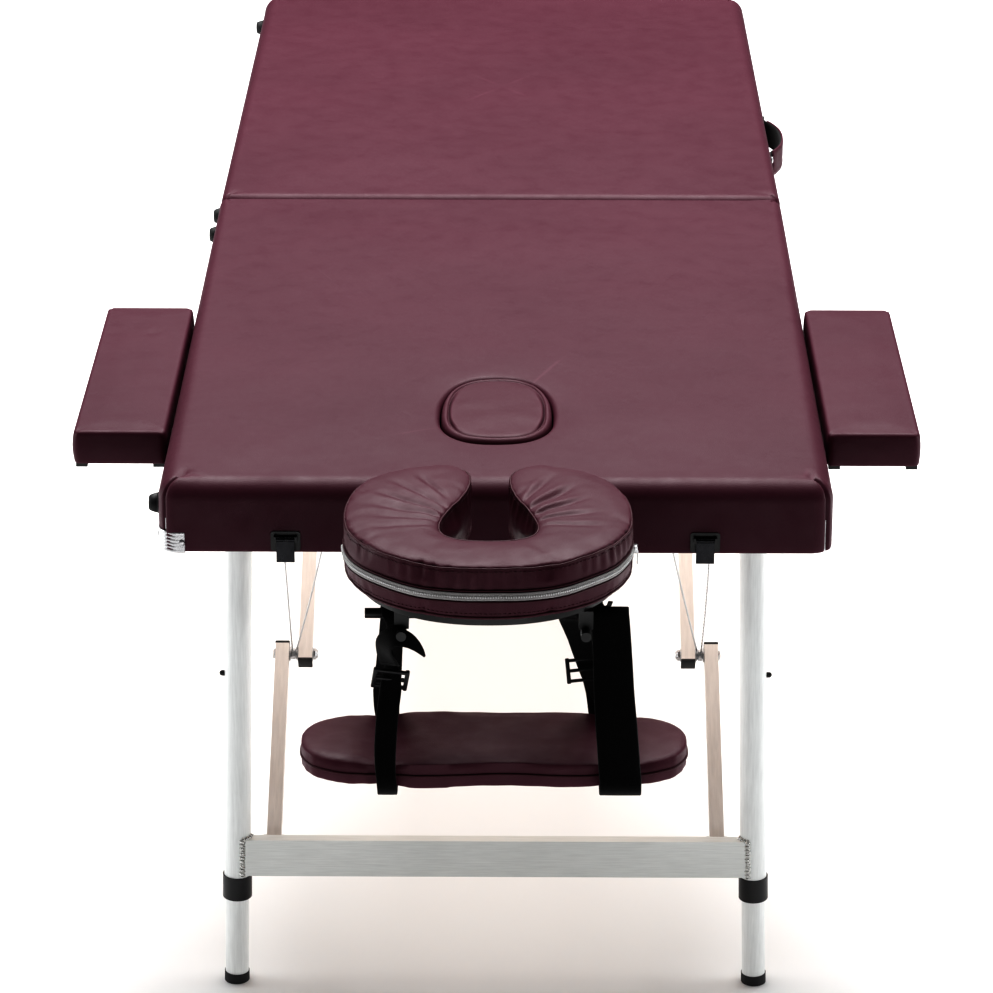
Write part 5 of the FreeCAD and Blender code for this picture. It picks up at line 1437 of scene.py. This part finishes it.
def guard(end):
    """Pressed steel angle with ribs round a section's lower left corner."""
    lo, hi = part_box(end + "_corner_guard")
    r = 0.022
    th = 0.0011
    outer_y = lo.y if end == "head" else hi.y
    inn = 1 if end == "head" else -1
    cx, cyy = lo.x + r, outer_y + inn * r
    z0, z1 = lo.z, hi.z
    prof = []
    for s in np.linspace(0, 1, 8)[:-1]:
        prof.append((hi.x - s * (hi.x - cx), outer_y, 0, -inn))
    for k in range(13):
        a = math.pi / 2 * k / 12
        prof.append((cx - r * math.sin(a), cyy - inn * r * math.cos(a), -math.sin(a), -inn * math.cos(a)))
    other_y = hi.y if end == "head" else lo.y
    for s in np.linspace(0, 1, 8)[1:]:
        prof.append((lo.x, cyy + (other_y - cyy) * s, -1, 0))
    zs = []
    nz = 29
    for k in range(nz):
        t = k / (nz - 1)
        rib = 0.0004 * (0.5 - 0.5 * math.cos(t * math.pi * 12))
        zs.append((z0 + (z1 - z0) * t, rib))
    rings = []
    for z, rib in zs:
        rings.append([(x - nx * (th - 0.0002) + nx * rib, y - ny * (th - 0.0002) + ny * rib, z) for x, y, nx, ny in prof])
    n = len(prof)
    verts = [v for r_ in rings for v in r_]
    faces = []
    for k in range(nz - 1):
        for i in range(n - 1):
            a, b = k * n + i, (k + 1) * n + i
            faces.append((a, a + 1, b + 1, b))
    ob = add_mesh(end + "_corner_guard_plate", verts, faces, M_STEEL)
    recalc(ob)
    md = ob.modifiers.new("t", "SOLIDIFY")
    md.thickness = 0.0009
    md.offset = 0.0
    apply_mods(ob)
    tidy(ob, end + "_section")
    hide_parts(end + "_corner_guard")
    bits = []
    bits.append(turn("r", [(0, 0.0030), (0.0009, 0.0034), (0.0016, 0.0026), (0.0019, 0.0008)], (lo.x + 0.0006, cyy + inn * 0.003, (z0 + z1) / 2), (-1, 0, 0), M_STEEL, 16))
    bits.append(turn("r", [(0, 0.0030), (0.0009, 0.0034), (0.0016, 0.0026), (0.0019, 0.0008)], (cx + 0.003, outer_y + inn * 0.0006, (z0 + z1) / 2), (0, -inn, 0), M_STEEL, 16))
    tidy(merge(end + "_guard_nails", bits), end + "_section")


guard("head")
guard("foot")


# ------------------------------------------------------------------ weld beads
def weld(name, body, pts, r=0.0034):
    """Row of overlapping scales left by the weld."""
    bits = []
    pts = np.asarray(pts, float)
    for i in range(len(pts) - 1):
        t = pts[i + 1] - pts[i]
        t /= np.linalg.norm(t)
        j = 0.0006 * math.sin(i * 2.7)
        bits.append(turn("w", [(-0.0016, 0.0006), (-0.0009, r * 0.72), (0.0, r), (0.0009, r * 0.85), (0.0018, r * 0.5), (0.0022, 0.0005)], pts[i] + np.array([j, j, 0]), t, M_WELD, 14))
    ob = merge(name, bits)
    tidy(ob, body)


for end in ("head", "foot"):
    lo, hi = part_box(end + "_crossbar")
    tl, th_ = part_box(end + "_leg_tubes")
    yf = lo.y + 0.0012 if end == "head" else hi.y - 0.0012
    yb_ = (lo.y + 0.0128) if end == "head" else (hi.y - 0.0128)
    zl, zh = 0.1306, 0.1726
    for side, sx in (("left", -1), ("right", 1)):
        xin = abs(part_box("%s_%s_foot" % (end, side))[0].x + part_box("%s_%s_foot" % (end, side))[1].x) / 2
        # the tube's inner flank at the bar's front face
        def flank(z, yq):
            ax_ = xin - math.tan(0.02573) * z
            cyl_y = (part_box("%s_%s_foot" % (end, side))[0].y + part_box("%s_%s_foot" % (end, side))[1].y) / 2
            dy = min(abs(yq - cyl_y), 0.0139)
            return ax_ - math.sqrt(max(0.014 ** 2 - dy ** 2, 0))
        pts = [(sx * (flank(z, yf) - 0.0005), yf, z) for z in np.linspace(zl - 0.001, zh + 0.001, 22)]
        weld("%s_%s_weld_front" % (end, side), end + "_legs", pts)
        pts = [(sx * (flank(zh, y) - 0.0005), y, zh) for y in np.linspace(min(yf, yb_), max(yf, yb_), 7)]
        weld("%s_%s_weld_top" % (end, side), end + "_legs", pts, 0.0028)


# ------------------------------------------------------------------ knee bolts: head, washers, cable eyes, lock nut
def hexnut(x0, x1, r, origin, dome=0.0):
    rings = []
    for t, k in ((0.0, 0.90), (0.12, 1.0), (0.86, 1.0), (1.0, 0.90)):
        x = x0 + (x1 - x0) * t
        rings.append([(x, origin[1] + r * k * math.cos(math.pi / 3 * i), origin[2] + r * k * math.sin(math.pi / 3 * i)) for i in range(6)])
    return loft("n", rings, M_STEEL, shade=False)


def knee_bolts():
    for end in ("head", "foot"):
        lo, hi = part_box(end + "_pivot_bolts")
        inset = INSET if end == "foot" else 0.0
        y, z = (lo.y + hi.y) / 2, (lo.z + hi.z) / 2
        bits = []
        for sx in (-1, 1):
            def X(v):
                return sx * (v - inset) / 1000.0
            ax = (sx, 0, 0)
            bits.append(turn("b", [(0, 0.0029), ((244.0 - 198.0) / 1000, 0.0029)], (X(198.0), y, z), ax, M_STEEL, 16))
            bits.append(turn("h", [(0, 0.0052), (0.0008, 0.0056), (0.0016, 0.0050), (0.0023, 0.0034), (0.0026, 0.0010)], (X(242.0), y, z), ax, M_STEEL, 24))
            for x0, w, r in ((216.9, 1.2, 0.0078), (218.4, 1.2, 0.0066), (225.3, 1.4, 0.0078)):
                bits.append(turn("w", [(0, r * 0.94), (0.0002, r), (w / 1000 - 0.0002, r), (w / 1000, r * 0.94)], (X(x0), y, z), ax, M_STEEL, 28))
            bits.append(hexnut(X(220.0) if sx > 0 else X(224.8), X(224.8) if sx > 0 else X(220.0), 0.0062, (0, y, z)))
            bits.append(turn("w", [(0, 0.0070), (0.0002, 0.0074), (0.0009, 0.0074), (0.0011, 0.0070)], (X(200.7), y, z), ax, M_STEEL, 28))
            bits.append(hexnut(min(X(197.4), X(200.7)), max(X(197.4), X(200.7)), 0.0062, (0, y, z)))
            bits.append(turn("c", [(0, 0.0050), (0.0012, 0.0048), (0.0022, 0.0036), (0.0027, 0.0010)], (X(197.6), y, z), (-sx, 0, 0), M_STEEL, 20))
        ob = merge(end + "_knee_bolts", bits)
        tidy(ob, end + "_upper_links")
        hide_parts(end + "_pivot_bolts")


knee_bolts()


# ------------------------------------------------------------------ finishes of the CAD pieces
def paint(mat, *names):
    for n in names:
        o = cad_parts[n]
        o.data.materials.clear()
        o.data.materials.append(mat)
        o.data.polygons.foreach_set("material_index", [0] * len(o.data.polygons))


for end in ("head", "foot"):
    paint(M_TUBE, end + "_leg_tubes", end + "_left_lower_leg", end + "_right_lower_leg")
    paint(M_BAR, end + "_crossbar")
    paint(M_BLACK, end + "_leg_collars")
    paint(M_RUBBER, end + "_left_foot", end + "_right_foot", end + "_side_bumpers")
    paint(M_STEEL, end + "_pivot_bolts", end + "_pivot_brackets", end + "_hinge_leaves", end + "_corner_guard")
    paint(M_BLACK, end + "_left_leg_button", end + "_right_leg_button")
    paint(M_BRACE, end + "_lower_braces", end + "_upper_braces")
    paint(M_CABLE, end + "_stay_cables")
    paint(M_BOARD, end + "_deck")
    paint(M_RAIL, end + "_frame")
paint(M_STEEL, "seam_hinge_pins", "socket_bushes")
paint(M_GLOSS, "latch_hasp_left", "latch_hasp_right")
paint(M_COAT, "latch_bases", "latch_keepers", "cradle_posts", "left_armrest_bracket", "right_armrest_bracket", "handle_plates")
paint(M_COAT, "cradle_plate")
paint(M_VINYL, "head_cushion", "foot_cushion", "face_hole_plug", "face_cushion", "sling_pad", "left_armrest_pad", "right_armrest_pad", "carry_handle")
paint(M_WEB, "sling_strap_left", "sling_strap_right")
paint(M_BLACK, "sling_buckles")


# black plugs in the square ends of the braces, over the CAD caps
def brace_caps():
    for end in ("head", "foot"):
        inset = INSET if end == "foot" else 0.0
        rise = math.radians(31.435)
        d = Vector((0, math.cos(rise), math.sin(rise)))
        up_ = Vector((0, -math.sin(rise), math.cos(rise)))
        bits = {"lower": [], "upper": []}
        for sx in (-1, 1):
            for kind, xc, dr in (("lower", 234.5, 1), ("upper", 209.2, -1)):
                c = T(sx * (xc - inset), KNEE[0], KNEE[1]) + d * dr * 0.0095
                o = rbox("c", (-0.0079, 0.0, -0.0079), (0.0079, 0.0034, 0.0079), 0.0010, M_BLACK, 2)
                mm = Matrix.Translation(c) @ Matrix(((1, 0, 0), tuple(d * dr), tuple(up_ * dr))).transposed().to_4x4()
                if end == "foot":
                    c2 = mirror_y(c)
                    dd = Vector((0, -d.y * dr, d.z * dr))
                    uu = Vector((0, -up_.y * dr, up_.z * dr))
                    mm = Matrix.Translation(c2) @ Matrix(((1, 0, 0), tuple(dd), tuple(uu))).transposed().to_4x4()
                o.matrix_world = mm
                bits[kind].append(o)
        bpy.context.view_layer.update()
        for kind, body in (("lower", "_lower_links"), ("upper", "_upper_links")):
            tidy(merge("%s_%s_brace_caps" % (end, kind), bits[kind]), end + body)


brace_caps()


# ------------------------------------------------------------------ floor, background, light
def stage_floor():
    mt, nt, bs, tc = new_mat("studio_floor")
    n1 = nd(nt, "ShaderNodeTexNoise", Scale=0.6, Detail=2.0)
    lk(nt, tc.outputs["Object"], n1.inputs["Vector"])
    col = ramp(nt, n1.outputs["Fac"], [(0.3, (0.86, 0.86, 0.86)), (0.7, (0.88, 0.88, 0.88))])
    lk(nt, col.outputs[0], bs.inputs["Base Color"])
    bs.inputs["Roughness"].default_value = 0.9
    bs.inputs["Specular IOR Level"].default_value = 0.1
    s = 30.0
    floor = add_mesh("studio_floor_plane", [(-s, -s, 0), (s, -s, 0), (s, s, 0), (-s, s, 0)], [(0, 1, 2, 3)], mt, False)


stage_floor()

world = bpy.data.worlds.new("World")
scene.world = world
world.use_nodes = True
bg = world.node_tree.nodes["Background"]
bg.inputs[0].default_value = (1.0, 1.0, 1.0, 1)
bg.inputs[1].default_value = 0.12


def area(name, loc, target, size, power, size_y=None, color=(1, 1, 1)):
    li = bpy.data.lights.new(name, "AREA")
    li.energy = power
    li.shape = "RECTANGLE" if size_y else "SQUARE"
    li.size = size
    if size_y:
        li.size_y = size_y
    li.color = color
    ob = bpy.data.objects.new(name, li)
    scene.collection.objects.link(ob)
    ob.location = loc
    ob.rotation_euler = (Vector(target) - Vector(loc)).to_track_quat("-Z", "Y").to_euler()
    return ob


area("key_overhead", (0.0, 1.3, 3.4), (0, 1.3, 0.0), 3.4, 215, 3.4)
area("side_left", (-2.6, -0.2, 0.62), (0, -0.1, 0.18), 1.2, 15, 0.8)
area("side_right", (2.6, -0.2, 0.62), (0, -0.1, 0.18), 1.2, 15, 0.8)
under = area("under_table", (0.0, 0.1, 0.50), (0, 0.1, 0.0), 0.9, 3.0, 1.5)
under.visible_camera = False
area("leg_front", (0.0, -2.6, 0.10), (0, -0.7, 0.10), 2.4, 4.0, 0.15)
scene.view_settings.view_transform = "Standard"
scene.view_settings.look = "Very High Contrast"
scene.view_settings.exposure = 0.0
